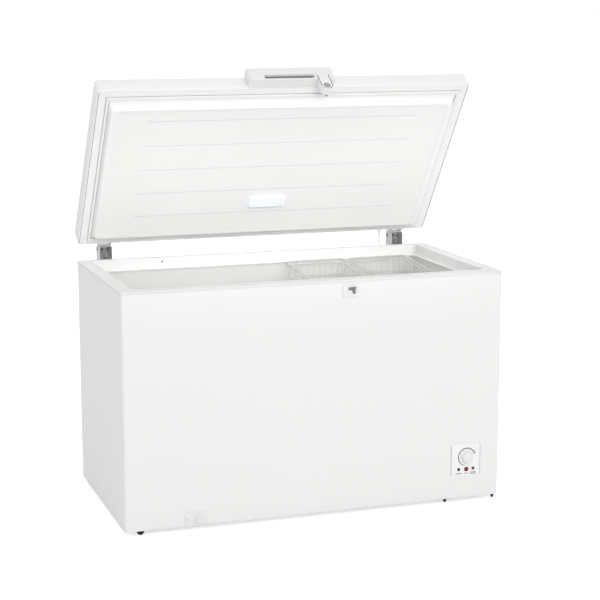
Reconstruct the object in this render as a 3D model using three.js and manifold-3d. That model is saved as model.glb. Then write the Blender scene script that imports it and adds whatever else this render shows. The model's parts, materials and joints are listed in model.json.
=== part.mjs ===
// Chest freezer with a spring-balanced lid, two hanging baskets and a compressor bay.
//
// Millimetres, +Z up. The floor is z = 0 and the cabinet is centred on x = 0, y = 0, with its
// front towards -Y. The last group moves the whole freezer so that the middle of its footprint,
// open lid and hinges included, lies over the origin.

import * as THREE from 'three';
import { mergeVertices } from 'three/addons/utils/BufferGeometryUtils.js';
import Module from 'manifold-3d';

const wasm = await Module();
wasm.setup();

// ---------------------------------------------------------------------------------------------
// Driving dimensions

const seat = 0.3; // air left between two pieces that touch
const eps = 1; // how far a cutter runs past the face that it cuts

const cabinetWidth = 1300;
const cabinetDepth = 670;
const cabinetHeight = 771; // from the skirt's lower edge to the top of the collar
const floorClearance = 16; // what the feet lift the skirt off the floor
const cornerRadius = 12; // front corners of the cabinet, seen from above
const steel = 0.8; // outer sheet metal
const linerSheet = 1;

const collar = {
  side: 48, front: 54, rear: 26, // widths of the flat top band
  flangeDrop: 9, // how far it laps down over the outer sheet
  wall: 2,
  flange: 1.2,
  draft: 2, // the inner wall leans in by this much
  ledgeDrop: 36, // from the band down to the ledge that carries the baskets
  ledge: 5,
  lip: 2,
  lipDrop: 43,
};

const floorThickness = 60; // skirt edge to the inside of the liner's floor
const stepWidth = 300; // the liner steps up over the compressor bay, this far from its right wall
const stepHeight = 330; // above the skirt edge
const stepFoam = 55; // insulation between the step and the bay

const lid = {
  thickness: 60, gap: 4, // gap: air between collar and rim
  sideInset: 2, frontOverhang: 3, rearOverhang: 4, // from the cabinet's faces
  corner: 12, edge: 6, // corner radius in plan, and the roll of the top edge
  pan: 1.5, // the inner lining's wall
};
const panDrop = 20; // how far the lining bulges below the lid's rim
const panField = 3; // the middle of the lining lies this much higher than its border

const lidOpening = 54.5; // degrees that the lid stands open at rest
const lidFullOpening = 75;

const hinge = {
  inset: 104, // the hinge's middle, from the cabinet's side
  behind: 47, above: 24, // the pivot, from the lid's rear wall and from its rim
  width: 44, sheet: 1.5, rear: 14, // rear: from the pivot to the inside of the bracket's web
  drop: 161, // the bracket's reach below the collar
  rise: 13, // its reach above the pivot
  lidClearance: 42, // radius about the pivot that the bracket's top stays within, forwards
  foot: 12,
  pin: 4, head: 6.5,
  armWall: 2,
  arm: 10, // radius of the leaf's arms about the pivot
};
const roller = { ahead: 24, below: 8, radius: 5 }; // pushes the plunger down as the lid closes
const plunger = { ahead: 20, head: 9, headThickness: 4, rod: 3.5, length: 154 };
const spring = { radius: 7, wire: 1.1, turns: 8, stepsPerTurn: 10 };
const guide = { below: 122, thickness: 3 }; // the spring's seat, below the pivot

const handle = {
  halfWidth: 147, reach: 35, wall: 8, grip: 23, floor: 3, round: 5, endRound: 12,
  endLeft: 53, endRight: 69, // its closed ends, outside the grip
};
const lock = {
  inset: 39, // its axis, from the handle's right end
  width: 44, drop: 57, rise: 40, standoff: 12, depth: 26,
  barrel: 8, barrelAbove: 20, barrelProud: 1.5, // its axis is above the housing's lower end
  cam: 3, camWidth: 8, camReach: 18, camGap: 2.4,
};
const strike = {
  width: 55, height: 45, below: 36, plate: 2.5, hook: 1.5, tongue: 7, tongueWidth: 9,
  beside: 3.5, above: 1.5, // the tongue, from the standing cam
  barReach: 8, bar: 10, legTop: 3.5, legLow: 8, legDrop: 14, taper: 1, // from the lock's axis
};

const lamp = { width: 130, depth: 49, behind: 188, drop: 8, tub: 25, wall: 1.5, margin: 5 };

const panel = { inset: 124.5, z: 131.5, width: 103, height: 117, proud: 2.7, bow: 3, corner: 8 };
const knob = { beside: 3.5, z: 141, radius: 22, depth: 13, shaft: 3 }; // beside the panel's middle
const lenses = [
  { name: 'power_lens', beside: -25.5, z: 99.4, radius: 5.5, colour: 0x1f4a38 },
  { name: 'alarm_lens', beside: 2.5, z: 98.5, radius: 8, colour: 0x7a1f22 },
  { name: 'fast_freeze_lens', beside: 27.5, z: 99.7, radius: 5.5, colour: 0x3c3a26 },
];
const thermostat = { halfWidth: 24, depth: 48, below: 27, above: 22 };

const drain = {
  inset: 244, z: 21.7, behind: 125, // the floor outlet, from the cabinet's left and front faces
  radius: 9, wall: 2, bend: 16, cap: 12.5, capDepth: 6,
};
const drainPlate = { left: 48, right: 28, height: 49, thickness: 2 }; // either side of the drain

const basket = {
  width: 215, depth: 200, wall: 2.4, hook: 2.4, taper: 9, corner: 14, dip: 22, dipHalf: 272, dipBend: 40,
  lipClearance: 4,
};
const basketInsets = { basket_left: 392.5, basket_right: 151.5 }; // from the liner's right wall

const pipe = { radius: 3, sides: 6, bend: 5.2, supplyAhead: 150 };
const evaporatorRows = [404, 484, 564, 644]; // heights above the skirt edge
const condenserRows = [684, 564, 444, 324, 204, 84];

// The lid lamp's lead: beside the right hinge, and behind the cabinet.
const lead = { beside: 59, radius: 4, below: 56, behind: 22, lean: 11 };

const compressor = {
  ahead: 245, // its axis, before the cabinet's rear face
  radius: 72, height: 180, plate: 3, footX: 55, footY: 42, footMargin: 14, stub: 115,
};
const relay = { width: 60, depth: 28, height: 62, above: 60 };
const drier = { beside: 25.4, ahead: 165, length: 80, radius: 10, neck: 4 };
const grommet = { outer: 12, inner: 5, height: 14 };
const bayTray = 1.5;

// Where the feet stand: the end of the cabinet and the distance in from it, front or rear.
const feet = [
  { name: 'foot_front_left', end: -1, inset: 55, side: -1, radius: 12.5 },
  { name: 'foot_front_middle', end: 1, inset: 190, side: -1, radius: 6.5 },
  { name: 'foot_front_right', end: 1, inset: 14, side: -1, radius: 6.5 },
  { name: 'foot_rear_left', end: -1, inset: 55, side: 1, radius: 12.5 },
  { name: 'foot_rear_middle', end: 1, inset: 190, side: 1, radius: 6.5 },
  { name: 'foot_rear_right', end: 1, inset: 14, side: 1, radius: 6.5 },
];
const footInset = 20; // a foot's axis behind the cabinet's face
const [footTaper, footStem] = [0.6, 0.5]; // sole and stem, as shares of a foot's radius

// ---------------------------------------------------------------------------------------------
// Levels and faces that follow from them

const halfWidth = cabinetWidth / 2;
const halfDepth = cabinetDepth / 2;
const skirt = floorClearance;
const top = skirt + cabinetHeight;
const skinInset = collar.flange + seat; // the outer sheet lies this far inside the collar's flange
const skinX = halfWidth - skinInset;
const skinY = halfDepth - skinInset;
const innerX = skinX - steel - seat; // room for what stands against the sheet's inside
const innerY = skinY - steel - seat;
const innerCorner = cornerRadius - skinInset - steel - seat;
const linerSide = collar.side + collar.draft * 2; // liner's inner faces, from the cabinet's
const linerX = halfWidth - linerSide;
const linerFront = -halfDepth + collar.front + collar.draft * 2;
const linerRear = halfDepth - collar.rear - collar.draft * 2;
const linerFloor = skirt + floorThickness;
const stepX = linerX - stepWidth;
const stepTop = skirt + stepHeight;
const linerTop = top - collar.ledgeDrop - collar.wall - seat;
const bayX = stepX + linerSheet + seat * 2 + stepFoam; // left face of the bay's partition
const bayTop = stepTop - linerSheet - seat * 2 - stepFoam;

const rim = top + lid.gap; // the closed lid's lower edge
const lidTop = rim + lid.thickness;
const lidX = halfWidth - lid.sideInset;
const lidFront = -halfDepth - lid.frontOverhang;
const lidRear = halfDepth + lid.rearOverhang;
const pivotY = lidRear + hinge.behind;
const pivotZ = rim + hinge.above;
const hingeX = halfWidth - hinge.inset;
const lockX = handle.halfWidth - lock.inset;

const panelX = halfWidth - panel.inset;
const knobX = panelX + knob.beside;
const drainX = -halfWidth + drain.inset;
const drainY = -halfDepth + drain.behind;
const compressorX = (bayX + innerX) / 2;
const compressorY = halfDepth - compressor.ahead;
const drierX = bayX + drier.beside;
const drierFront = halfDepth - drier.ahead;
const drierRear = drierFront + drier.length;

// ---------------------------------------------------------------------------------------------
// Materials

function finish(colour, roughness, metalness = 0) {
  return new THREE.MeshStandardMaterial({ color: colour, roughness, metalness });
}
const whiteEnamel = finish(0xf3f3f2, 0.35);
const whitePlastic = finish(0xf1f1ef, 0.45);
const linerMetal = finish(0xdedfdc, 0.4, 0.6);
const galvanised = finish(0xb4b6b6, 0.45, 0.9);
const darkMetal = finish(0x3a3b3c, 0.45, 0.8);
const blackRubber = finish(0x1a1a1a, 0.8);
const blackEnamel = finish(0x202122, 0.5);
const blackPlastic = finish(0x242424, 0.6);
const copper = finish(0xb87355, 0.35, 0.9);
const foamYellow = finish(0xe9d9a6, 0.95);
const gasketWhite = finish(0xf0f0ee, 0.7);
const lampLensWhite = finish(0xf7fbff, 0.25);

// ---------------------------------------------------------------------------------------------
// Solids

// A closed three.js geometry as a solid for cutting and joining.
function solid(geometry) {
  const bare = new THREE.BufferGeometry();
  bare.setAttribute('position', geometry.getAttribute('position'));
  bare.setIndex(geometry.getIndex());
  const merged = mergeVertices(bare, 1e-4);
  return new wasm.Manifold(new wasm.Mesh({
    numProp: 3,
    vertProperties: new Float32Array(merged.getAttribute('position').array),
    triVerts: new Uint32Array(merged.getIndex().array),
  }));
}

function geometryOf(body) {
  const mesh = body.getMesh();
  const geometry = new THREE.BufferGeometry();
  geometry.setAttribute('position', new THREE.BufferAttribute(mesh.vertProperties, 3));
  geometry.setIndex(new THREE.BufferAttribute(mesh.triVerts, 1));
  geometry.computeVertexNormals();
  return geometry;
}

function cut(geometry, ...cutters) {
  return geometryOf(cutters.reduce((body, tool) => body.subtract(solid(tool)), solid(geometry)));
}

function join(...geometries) {
  return geometryOf(geometries.map(solid).reduce((body, next) => body.add(next)));
}

function box(x0, x1, y0, y1, z0, z1) {
  const geometry = new THREE.BoxGeometry(x1 - x0, y1 - y0, z1 - z0);
  return geometry.translate((x0 + x1) / 2, (y0 + y1) / 2, (z0 + z1) / 2);
}

// A flat outline pushed along an axis. On x the outline's points are (y, z), on y they are
// (x, z), and on z they are (x, y).
function prism(shape, axis, from, to, curveSegments = 6) {
  const geometry = new THREE.ExtrudeGeometry(shape, {
    depth: to - from, bevelEnabled: false, curveSegments,
  });
  geometry.translate(0, 0, from);
  if (axis === 'x') return geometry.rotateZ(Math.PI / 2).rotateY(Math.PI / 2);
  if (axis !== 'y') return geometry;
  return flipped(geometry.rotateX(Math.PI / 2).scale(1, -1, 1));
}

// The same surface with every triangle turned over.
function flipped(geometry) {
  const flat = geometry.index ? geometry.toNonIndexed() : geometry;
  const position = flat.getAttribute('position');
  const a = new THREE.Vector3();
  const b = new THREE.Vector3();
  for (let i = 0; i < position.count; i += 3) {
    a.fromBufferAttribute(position, i + 1);
    b.fromBufferAttribute(position, i + 2);
    position.setXYZ(i + 1, b.x, b.y, b.z);
    position.setXYZ(i + 2, a.x, a.y, a.z);
  }
  flat.computeVertexNormals();
  return flat;
}

function polygon(points) {
  return new THREE.Shape(points.map(([u, v]) => new THREE.Vector2(u, v)));
}

function roundedRectangle(u0, u1, v0, v1, radius) {
  const shape = new THREE.Shape();
  shape.moveTo(u0 + radius, v0);
  shape.lineTo(u1 - radius, v0);
  shape.absarc(u1 - radius, v0 + radius, radius, -Math.PI / 2, 0);
  shape.lineTo(u1, v1 - radius);
  shape.absarc(u1 - radius, v1 - radius, radius, 0, Math.PI / 2);
  shape.lineTo(u0 + radius, v1);
  shape.absarc(u0 + radius, v1 - radius, radius, Math.PI / 2, Math.PI);
  shape.lineTo(u0, v0 + radius);
  shape.absarc(u0 + radius, v0 + radius, radius, Math.PI, Math.PI * 1.5);
  return shape;
}

// A round bar along x, y or z.
function rod(axis, radius, from, to, u, v, sides = 16) {
  const geometry = new THREE.CylinderGeometry(radius, radius, to - from, sides);
  const middle = (from + to) / 2;
  if (axis === 'x') return geometry.rotateZ(-Math.PI / 2).translate(middle, u, v);
  if (axis === 'y') return geometry.translate(u, middle, v);
  return geometry.rotateX(Math.PI / 2).translate(u, v, middle);
}

// A turned piece: radius and height pairs about +Z, from the axis back to it or round a ring.
function turned(profile, sides = 20) {
  const points = profile.map(([radius, height]) => new THREE.Vector2(radius, height));
  return new THREE.LatheGeometry(points, sides).rotateX(Math.PI / 2);
}

// A rectangle with rounded corners, seen from above, as a loop of points at height z.
const cornerSteps = 4;
function loopPoints({ left, right, front, rear, z, corner, rearCorner = corner }) {
  const points = [];
  const near = Math.max(corner, 0.5);
  const far = Math.max(rearCorner, 0.5);
  const centres = [
    [right - far, rear - far, 0, far], [left + far, rear - far, 1, far],
    [left + near, front + near, 2, near], [right - near, front + near, 3, near],
  ];
  for (const [x, y, quarter, radius] of centres) {
    for (let i = 0; i <= cornerSteps; i += 1) {
      const angle = (quarter + i / cornerSteps) * Math.PI / 2;
      points.push([x + radius * Math.cos(angle), y + radius * Math.sin(angle), z]);
    }
  }
  return points;
}

// A closed skin through a row of loops. As a ring, the last loop joins the first; otherwise the
// two end loops are filled in.
function skinned(loops, ring = false) {
  const rows = loops.map(loopPoints);
  const count = rows[0].length;
  const triangles = [];
  const joins = ring ? rows.length : rows.length - 1;
  for (let r = 0; r < joins; r += 1) {
    const lower = rows[r];
    const upper = rows[(r + 1) % rows.length];
    for (let i = 0; i < count; i += 1) {
      const j = (i + 1) % count;
      triangles.push(lower[i], lower[j], upper[j], lower[i], upper[j], upper[i]);
    }
  }
  if (!ring) {
    const first = rows[0];
    const last = rows[rows.length - 1];
    for (let i = 1; i < count - 1; i += 1) {
      triangles.push(first[0], first[i + 1], first[i], last[0], last[i], last[i + 1]);
    }
  }
  const geometry = new THREE.BufferGeometry();
  geometry.setAttribute('position', new THREE.Float32BufferAttribute(triangles.flat(), 3));
  return volumeOf(geometry) < 0 ? flipped(geometry) : geometry;
}

function volumeOf(geometry) {
  const position = geometry.getAttribute('position');
  const [a, b, c] = [new THREE.Vector3(), new THREE.Vector3(), new THREE.Vector3()];
  let volume = 0;
  for (let i = 0; i < position.count; i += 3) {
    a.fromBufferAttribute(position, i);
    b.fromBufferAttribute(position, i + 1);
    c.fromBufferAttribute(position, i + 2);
    volume += a.dot(b.cross(c)) / 6;
  }
  return volume;
}

// A route through given points, one section at each.
class Route extends THREE.Curve {
  constructor(points) {
    super();
    this.points = points;
  }

  getPoint(t, target = new THREE.Vector3()) {
    const place = t * (this.points.length - 1);
    const i = Math.min(Math.floor(place + 1e-9), this.points.length - 2);
    return target.copy(this.points[i]).lerp(this.points[i + 1], Math.max(place - i, 0));
  }

  getPointAt(u, target) {
    return this.getPoint(u, target);
  }

  getTangentAt(u, target = new THREE.Vector3()) {
    const i = Math.round(u * (this.points.length - 1));
    const before = this.points[Math.max(i - 1, 0)];
    const after = this.points[Math.min(i + 1, this.points.length - 1)];
    return target.copy(after).sub(before).normalize();
  }
}

// A pipe or solid bar along a route.
function tube(points, radius, sides, bore = 0) {
  const circle = (r) => Array.from({ length: sides }, (_, i) => {
    const angle = (i + 0.5) * 2 * Math.PI / sides;
    return new THREE.Vector2(r * Math.cos(angle), r * Math.sin(angle));
  });
  const shape = new THREE.Shape(circle(radius));
  if (bore > 0) shape.holes.push(new THREE.Path(circle(bore).reverse()));
  return new THREE.ExtrudeGeometry(shape, {
    steps: points.length - 1, extrudePath: new Route(points), bevelEnabled: false,
  });
}

// The corners of a bent pipe, each turned into a quarter-round bend.
function bent(corners, radius, steps = 3) {
  const knots = corners.map(([x, y, z]) => new THREE.Vector3(x, y, z));
  const points = [knots[0]];
  for (let i = 1; i < knots.length - 1; i += 1) {
    const back = knots[i - 1].clone().sub(knots[i]).normalize().multiplyScalar(radius).add(knots[i]);
    const on = knots[i + 1].clone().sub(knots[i]).normalize().multiplyScalar(radius).add(knots[i]);
    const bend = new THREE.QuadraticBezierCurve3(back, knots[i], on);
    points.push(...bend.getPoints(steps));
  }
  points.push(knots[knots.length - 1]);
  return points;
}

function piece(name, geometry, material, parent) {
  const mesh = new THREE.Mesh(geometry, material);
  mesh.name = name;
  parent.add(mesh);
  return mesh;
}

// ---------------------------------------------------------------------------------------------
// Cabinet shell

const cabinet = new THREE.Group();

// An outline open at the rear, with the two front corners rounded.
function wrapOutline(x, front, rear, radius) {
  const shape = new THREE.Shape();
  shape.moveTo(x, rear);
  shape.lineTo(-x, rear);
  shape.lineTo(-x, front + radius);
  shape.absarc(-x + radius, front + radius, radius, Math.PI, Math.PI * 1.5);
  shape.lineTo(x - radius, front);
  shape.absarc(x - radius, front + radius, radius, -Math.PI / 2, 0);
  return shape;
}

const sideGrille = { ahead: 30, z: 134, width: 240, height: 170, slots: 9, overlap: 8 };
const sideGrilleY = compressorY - sideGrille.ahead;
// The hole behind the control panel: either side of its middle, and heights above the skirt edge.
const panelWindow = { left: 35.5, right: 36.5, low: 88, high: 166 };

function outerWrapper() {
  const outer = prism(wrapOutline(skinX, -skinY, skinY, cornerRadius - skinInset),
    'z', skirt, top - collar.wall - seat);
  const inside = prism(
    wrapOutline(skinX - steel, -skinY + steel, skinY + eps, cornerRadius - skinInset - steel),
    'z', skirt - eps, top + eps);
  const grilleHole = box(skinX - steel - eps, skinX + eps,
    sideGrilleY - sideGrille.width / 2, sideGrilleY + sideGrille.width / 2,
    skirt + sideGrille.z - sideGrille.height / 2, skirt + sideGrille.z + sideGrille.height / 2);
  const panelHole = box(panelX - panelWindow.left, panelX + panelWindow.right,
    -skinY - eps, -skinY + steel + eps, skirt + panelWindow.low, skirt + panelWindow.high);
  const drainHole = rod('y', drain.radius + 2 * seat, -skinY - eps, -skinY + steel + eps,
    drainX, skirt + drain.z);
  return cut(outer, inside, grilleHole, panelHole, drainHole);
}
piece('outer_wrapper', outerWrapper(), whiteEnamel, cabinet);

// The back sheet leaves the bay's rear open, for its own cover.
const bayOpening = { left: bayX + 8, right: innerX - 10, high: bayTop - 6 };
const backOutline = polygon([
  [-innerX, skirt], [bayOpening.left, skirt], [bayOpening.left, bayOpening.high],
  [innerX, bayOpening.high], [innerX, top - collar.wall - seat], [-innerX, top - collar.wall - seat],
]);
piece('back_panel', prism(backOutline, 'y', skinY - steel, skinY), galvanised, cabinet);

function bottomSheet(cutFrom, cutTo, thickness) {
  return cut(prism(wrapOutline(innerX, -innerY, innerY, innerCorner), 'z', skirt, skirt + thickness),
    box(cutFrom, cutTo, -halfDepth, halfDepth, skirt - eps, skirt + thickness + eps));
}
piece('base_panel', bottomSheet(bayX - seat, halfWidth, steel), galvanised, cabinet);
piece('compressor_tray', bottomSheet(-halfWidth, bayX, bayTray), galvanised, cabinet);

// ---------------------------------------------------------------------------------------------
// Liner, insulation and bay partition

// Side outline of the liner: a deep well on the left and a step on the right. It is drawn for
// the faces that lie `out` outside the liner's inner faces.
function linerOutline(out, upTo) {
  const x = linerX + out;
  return polygon([
    [-x, linerFloor - out], [stepX + out, linerFloor - out], [stepX + out, stepTop - out],
    [x, stepTop - out], [x, upTo], [-x, upTo],
  ]);
}

const linerShell = cut(
  prism(linerOutline(linerSheet, linerTop), 'y', linerFront - linerSheet, linerRear + linerSheet),
  prism(linerOutline(0, top), 'y', linerFront, linerRear),
  rod('z', drain.radius + 2 * seat, linerFloor - linerSheet - eps, linerFloor + eps,
    drainX, drainY));
piece('inner_liner', linerShell, linerMetal, cabinet);

const pipeSlot = pipe.radius * 2 + 1.6; // width of a channel that holds a pipe
const coilX = linerX + linerSheet + 2 * seat + pipe.radius;
const coilFront = linerFront - linerSheet - 2 * seat - pipe.radius;
const coilEnd = halfDepth - 135; // the evaporator turns back here, short of the rear wall
const coilReturn = coilEnd + 25;
const condenserY = skinY - steel - seat - pipe.radius;
const condenserLeft = -halfWidth + 50;
const condenserRight = stepX - 8;
const condenserRiser = stepX + 24;
const condenserInlet = 224; // height above the skirt edge

function evaporatorChannels() {
  const half = pipeSlot / 2;
  const reach = coilX + half;
  const rows = evaporatorRows.map((row) => box(-reach, reach, coilFront - half, coilEnd + half,
    skirt + row - half, skirt + row + half));
  const [first, second, third, fourth] = evaporatorRows.map((row) => skirt + row);
  const leftTurns = [[first, second], [third, fourth]].map(([low, high]) => box(
    -reach, -linerX, coilEnd - half, coilEnd + half, low, high));
  const rightRiser = box(linerX, reach, coilEnd - half, coilReturn + half, bayTop - eps, fourth + half);
  return [...rows, ...leftTurns, rightRiser];
}

function condenserChannels() {
  const half = pipeSlot / 2;
  const front = condenserY - half;
  const behind = skinY;
  const levels = condenserRows.map((row) => skirt + row);
  const rows = levels.map((level, i) => box(condenserLeft - half,
    i === 0 ? condenserRiser + half : i === levels.length - 1 ? bayX + eps : condenserRight + half,
    front, behind, level - half, level + half));
  const turns = levels.slice(0, -1).map((level, i) => {
    const x = i % 2 === 0 ? condenserLeft : condenserRight;
    return box(x - half, x + half, front, behind, levels[i + 1], level);
  });
  const inlet = skirt + condenserInlet;
  const riser = box(condenserRiser - half, condenserRiser + half, front, behind, inlet, levels[0]);
  const entry = box(condenserRiser - half, bayX + eps, front, behind, inlet - half, inlet + half);
  return [...rows, ...turns, riser, entry];
}

function drainRoute(from) {
  return bent([
    [drainX, drainY, from], [drainX, drainY, skirt + drain.z], [drainX, -halfDepth, skirt + drain.z],
  ], drain.bend, 4);
}

function insulation() {
  const shell = linerSheet + seat;
  const foamTop = top - collar.wall - seat;
  const block = prism(wrapOutline(innerX, -innerY, innerY, innerCorner),
    'z', skirt + steel + seat, foamTop);
  const well = prism(linerOutline(shell, top + eps), 'y', linerFront - shell, linerRear + shell);
  const collarRoom = collar.wall + seat + collar.draft / 2;
  const mouth = box(-halfWidth + collar.side - collarRoom, halfWidth - collar.side + collarRoom,
    -halfDepth + collar.front - collarRoom, halfDepth - collar.rear + collarRoom,
    linerTop - seat, top + eps);
  const bay = box(bayX - seat, halfWidth, -halfDepth, halfDepth, 0, bayTop + seat);
  const drainBore = tube(drainRoute(linerFloor + eps), drain.radius + 2 * seat, 12);
  return cut(block, well, mouth, bay, drainBore, ...evaporatorChannels(), ...condenserChannels());
}

piece('insulation_foam', insulation(), foamYellow, cabinet);

// Folded sheet between the insulation and the bay, short at the rear to let the pipes by.
const partitionOutline = polygon([
  [bayX, skirt + bayTray + seat], [bayX + linerSheet, skirt + bayTray + seat],
  [bayX + linerSheet, bayTop - linerSheet], [innerX, bayTop - linerSheet],
  [innerX, bayTop], [bayX, bayTop],
]);
const partition = cut(
  prism(partitionOutline, 'y', -innerY + innerCorner, innerY - 14),
  box(coilX - pipeSlot, halfWidth, coilEnd - pipeSlot, coilReturn + pipeSlot,
    bayTop - linerSheet - eps, bayTop + eps));
piece('bay_partition', partition, galvanised, cabinet);

// ---------------------------------------------------------------------------------------------
// Collar round the mouth

// A loop at given distances inside the cabinet's outer faces.
function collarLoop(side, front, rear, drop, corner, rearCorner = corner) {
  return {
    left: -halfWidth + side, right: halfWidth - side,
    front: -halfDepth + front, rear: halfDepth - rear, z: top - drop, corner, rearCorner,
  };
}

// The flange follows the outer sheet: rounded at the front, square at the rear.
function flangeLoop(inset, drop) {
  return collarLoop(inset, inset, inset, drop, cornerRadius - inset, 0.5);
}

function bandLoop(inset, drop, corner) {
  return collarLoop(collar.side + inset, collar.front + inset, collar.rear + inset, drop, corner);
}

const ledgeEdge = collar.draft + collar.ledge;
const topFrame = skinned([
  flangeLoop(0, collar.flangeDrop),
  flangeLoop(0, 2.5),
  flangeLoop(0.8, 0.7),
  flangeLoop(2.5, 0),
  bandLoop(-3, 0, 17),
  bandLoop(-0.9, 0.9, 15.9),
  bandLoop(0, 3, 15),
  bandLoop(collar.draft, collar.ledgeDrop, 13),
  bandLoop(ledgeEdge, collar.ledgeDrop, 10),
  bandLoop(ledgeEdge + collar.lip * 0.7, collar.ledgeDrop + 0.7, 9),
  bandLoop(ledgeEdge + collar.lip, collar.ledgeDrop + 2.5, 8),
  bandLoop(ledgeEdge + collar.lip, collar.lipDrop - 1.5, 8),
  bandLoop(ledgeEdge + collar.lip * 0.4, collar.lipDrop, 9),
  bandLoop(ledgeEdge, collar.lipDrop, 10),
  bandLoop(ledgeEdge, collar.ledgeDrop + collar.wall, 10),
  bandLoop(0, collar.ledgeDrop + collar.wall, 15),
  bandLoop(-collar.wall, collar.wall, 17),
  flangeLoop(collar.flange, collar.wall),
  flangeLoop(collar.flange, collar.flangeDrop),
], true);
piece('top_frame', topFrame, whitePlastic, cabinet);

// ---------------------------------------------------------------------------------------------
// Drain: tube through the floor, outlet plate at the front, plug and cap

piece('drain_tube', tube(drainRoute(linerFloor - seat), drain.radius, 12, drain.radius - drain.wall),
  whitePlastic, cabinet);

const plateFront = -skinY - seat - drainPlate.thickness;
const drainOutlet = cut(
  prism(roundedRectangle(drainX - drainPlate.left, drainX + drainPlate.right, skirt + 1,
    skirt + drainPlate.height, 5), 'y', plateFront, -skinY - seat, 3),
  rod('y', drain.radius + 2 * seat, plateFront - eps, -skinY + eps, drainX, skirt + drain.z));
piece('drain_outlet_plate', drainOutlet, whitePlastic, cabinet);

const drainStem = drain.radius - drain.wall - 2 * seat;
const drainCap = piece('drain_cap', turned([
  [0, -12], [drainStem, -12], [drainStem, 0], [drain.cap, 0], [drain.cap, drain.capDepth - 1.5],
  [drain.cap - 1.5, drain.capDepth], [0, drain.capDepth],
]).rotateX(Math.PI / 2), whitePlastic, cabinet);
drainCap.position.set(drainX, -halfDepth - 2 * seat - 0.5, skirt + drain.z);

const drainPlug = piece('drain_plug', turned([
  [0, -14], [drainStem - 0.5, -14], [drainStem, 0], [15, 0], [15, 3], [12, 5], [5, 6], [4, 14], [0, 15],
]), whitePlastic, cabinet);
drainPlug.position.set(drainX, drainY, linerFloor + seat);

// ---------------------------------------------------------------------------------------------
// Control panel

function panelOutline() {
  const { width, height, bow, corner } = panel;
  const [u, v] = [width / 2, height / 2];
  const shape = new THREE.Shape();
  shape.moveTo(-u + corner, -v + bow);
  shape.quadraticCurveTo(0, -v - bow, u - corner, -v + bow);
  shape.quadraticCurveTo(u, -v + bow, u, -v + bow + corner);
  shape.lineTo(u, v - bow - corner);
  shape.quadraticCurveTo(u, v - bow, u - corner, v - bow);
  shape.quadraticCurveTo(0, v + bow, -u + corner, v - bow);
  shape.quadraticCurveTo(-u, v - bow, -u, v - bow - corner);
  shape.lineTo(-u, -v + bow + corner);
  shape.quadraticCurveTo(-u, -v + bow, -u + corner, -v + bow);
  return shape;
}

const panelBack = -skinY - seat;
const panelFace = panelBack - panel.proud;
const controlPanel = cut(
  prism(panelOutline(), 'y', 0, panel.proud, 4)
    .translate(panelX, panelFace, skirt + panel.z),
  rod('y', knob.shaft + 1, panelFace - eps, panelBack + eps, knobX, skirt + knob.z),
  ...lenses.map(({ beside, z, radius }) => rod('y', radius + seat, panelFace - eps, panelBack + eps,
    panelX + beside, skirt + z, 12)));
piece('control_panel', controlPanel, whitePlastic, cabinet);

for (const { name, beside, z, radius, colour } of lenses) {
  const lens = piece(name, turned([
    [0, -7], [radius - 0.2, -7], [radius - 0.2, panel.proud + 0.4], [radius * 0.7, panel.proud + 1.4],
    [0, panel.proud + 1.8],
  ], 12).rotateX(Math.PI / 2), finish(colour, 0.25), cabinet);
  lens.position.set(panelX + beside, panelBack, skirt + z);
}

piece('thermostat_body', box(knobX - thermostat.halfWidth, knobX + thermostat.halfWidth,
  -skinY, -skinY + thermostat.depth,
  skirt + knob.z - thermostat.below, skirt + knob.z + thermostat.above), blackPlastic, cabinet);

const knobMesh = piece('thermostat_knob', turned([
  [0, -panel.proud], [knob.shaft, -panel.proud], [knob.shaft, seat], [knob.radius, seat],
  [knob.radius, 3], [knob.radius - 3, 4.5], [knob.radius - 4, knob.depth - 1.5],
  [knob.radius - 5.5, knob.depth], [0, knob.depth],
], 28).rotateX(Math.PI / 2), whitePlastic, cabinet);
knobMesh.position.set(knobX, panelFace, skirt + knob.z);

// ---------------------------------------------------------------------------------------------
// Lock strike

const strikeFace = -skinY - seat - strike.plate;
const strikeZ = top - strike.below;
piece('strike_plate', prism(
  roundedRectangle(lockX - strike.width / 2, lockX + strike.width / 2,
    strikeZ - strike.height / 2, strikeZ + strike.height / 2, 5),
  'y', strikeFace, -skinY - seat, 3), whitePlastic, cabinet);

const lockLow = rim - lock.drop;
const barrelZ = lockLow + lock.barrelAbove;
const camTop = barrelZ + lock.camWidth / 2;
const hookFace = strikeFace - seat - strike.hook;
const tongueLow = camTop + strike.above;
const hookX = lockX + lock.camWidth / 2 + strike.beside;
const hookEnd = hookX + strike.tongueWidth;
const hookTop = tongueLow + 2 * strike.hook;

// An angle of steel sheet: a bar, a leg that narrows downwards, and a tongue over the cam.
function strikeHook() {
  const { bar, legTop, legLow, legDrop, barReach, taper } = strike;
  const angle = new THREE.Shape();
  angle.moveTo(lockX - barReach, hookTop);
  angle.lineTo(lockX - barReach, hookTop - bar);
  angle.lineTo(lockX + legTop, hookTop - bar);
  angle.lineTo(lockX + legLow, barrelZ - legDrop);
  angle.lineTo(hookEnd - taper, barrelZ - legDrop);
  angle.lineTo(hookEnd, hookTop - bar);
  angle.lineTo(hookEnd, hookTop);
  return join(prism(angle, 'y', hookFace, strikeFace - seat),
    box(hookX, hookEnd, hookFace - strike.tongue, hookFace + strike.hook / 2, tongueLow, hookTop));
}
piece('strike_hook', strikeHook(), darkMetal, cabinet);

// ---------------------------------------------------------------------------------------------
// Compressor bay

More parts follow.
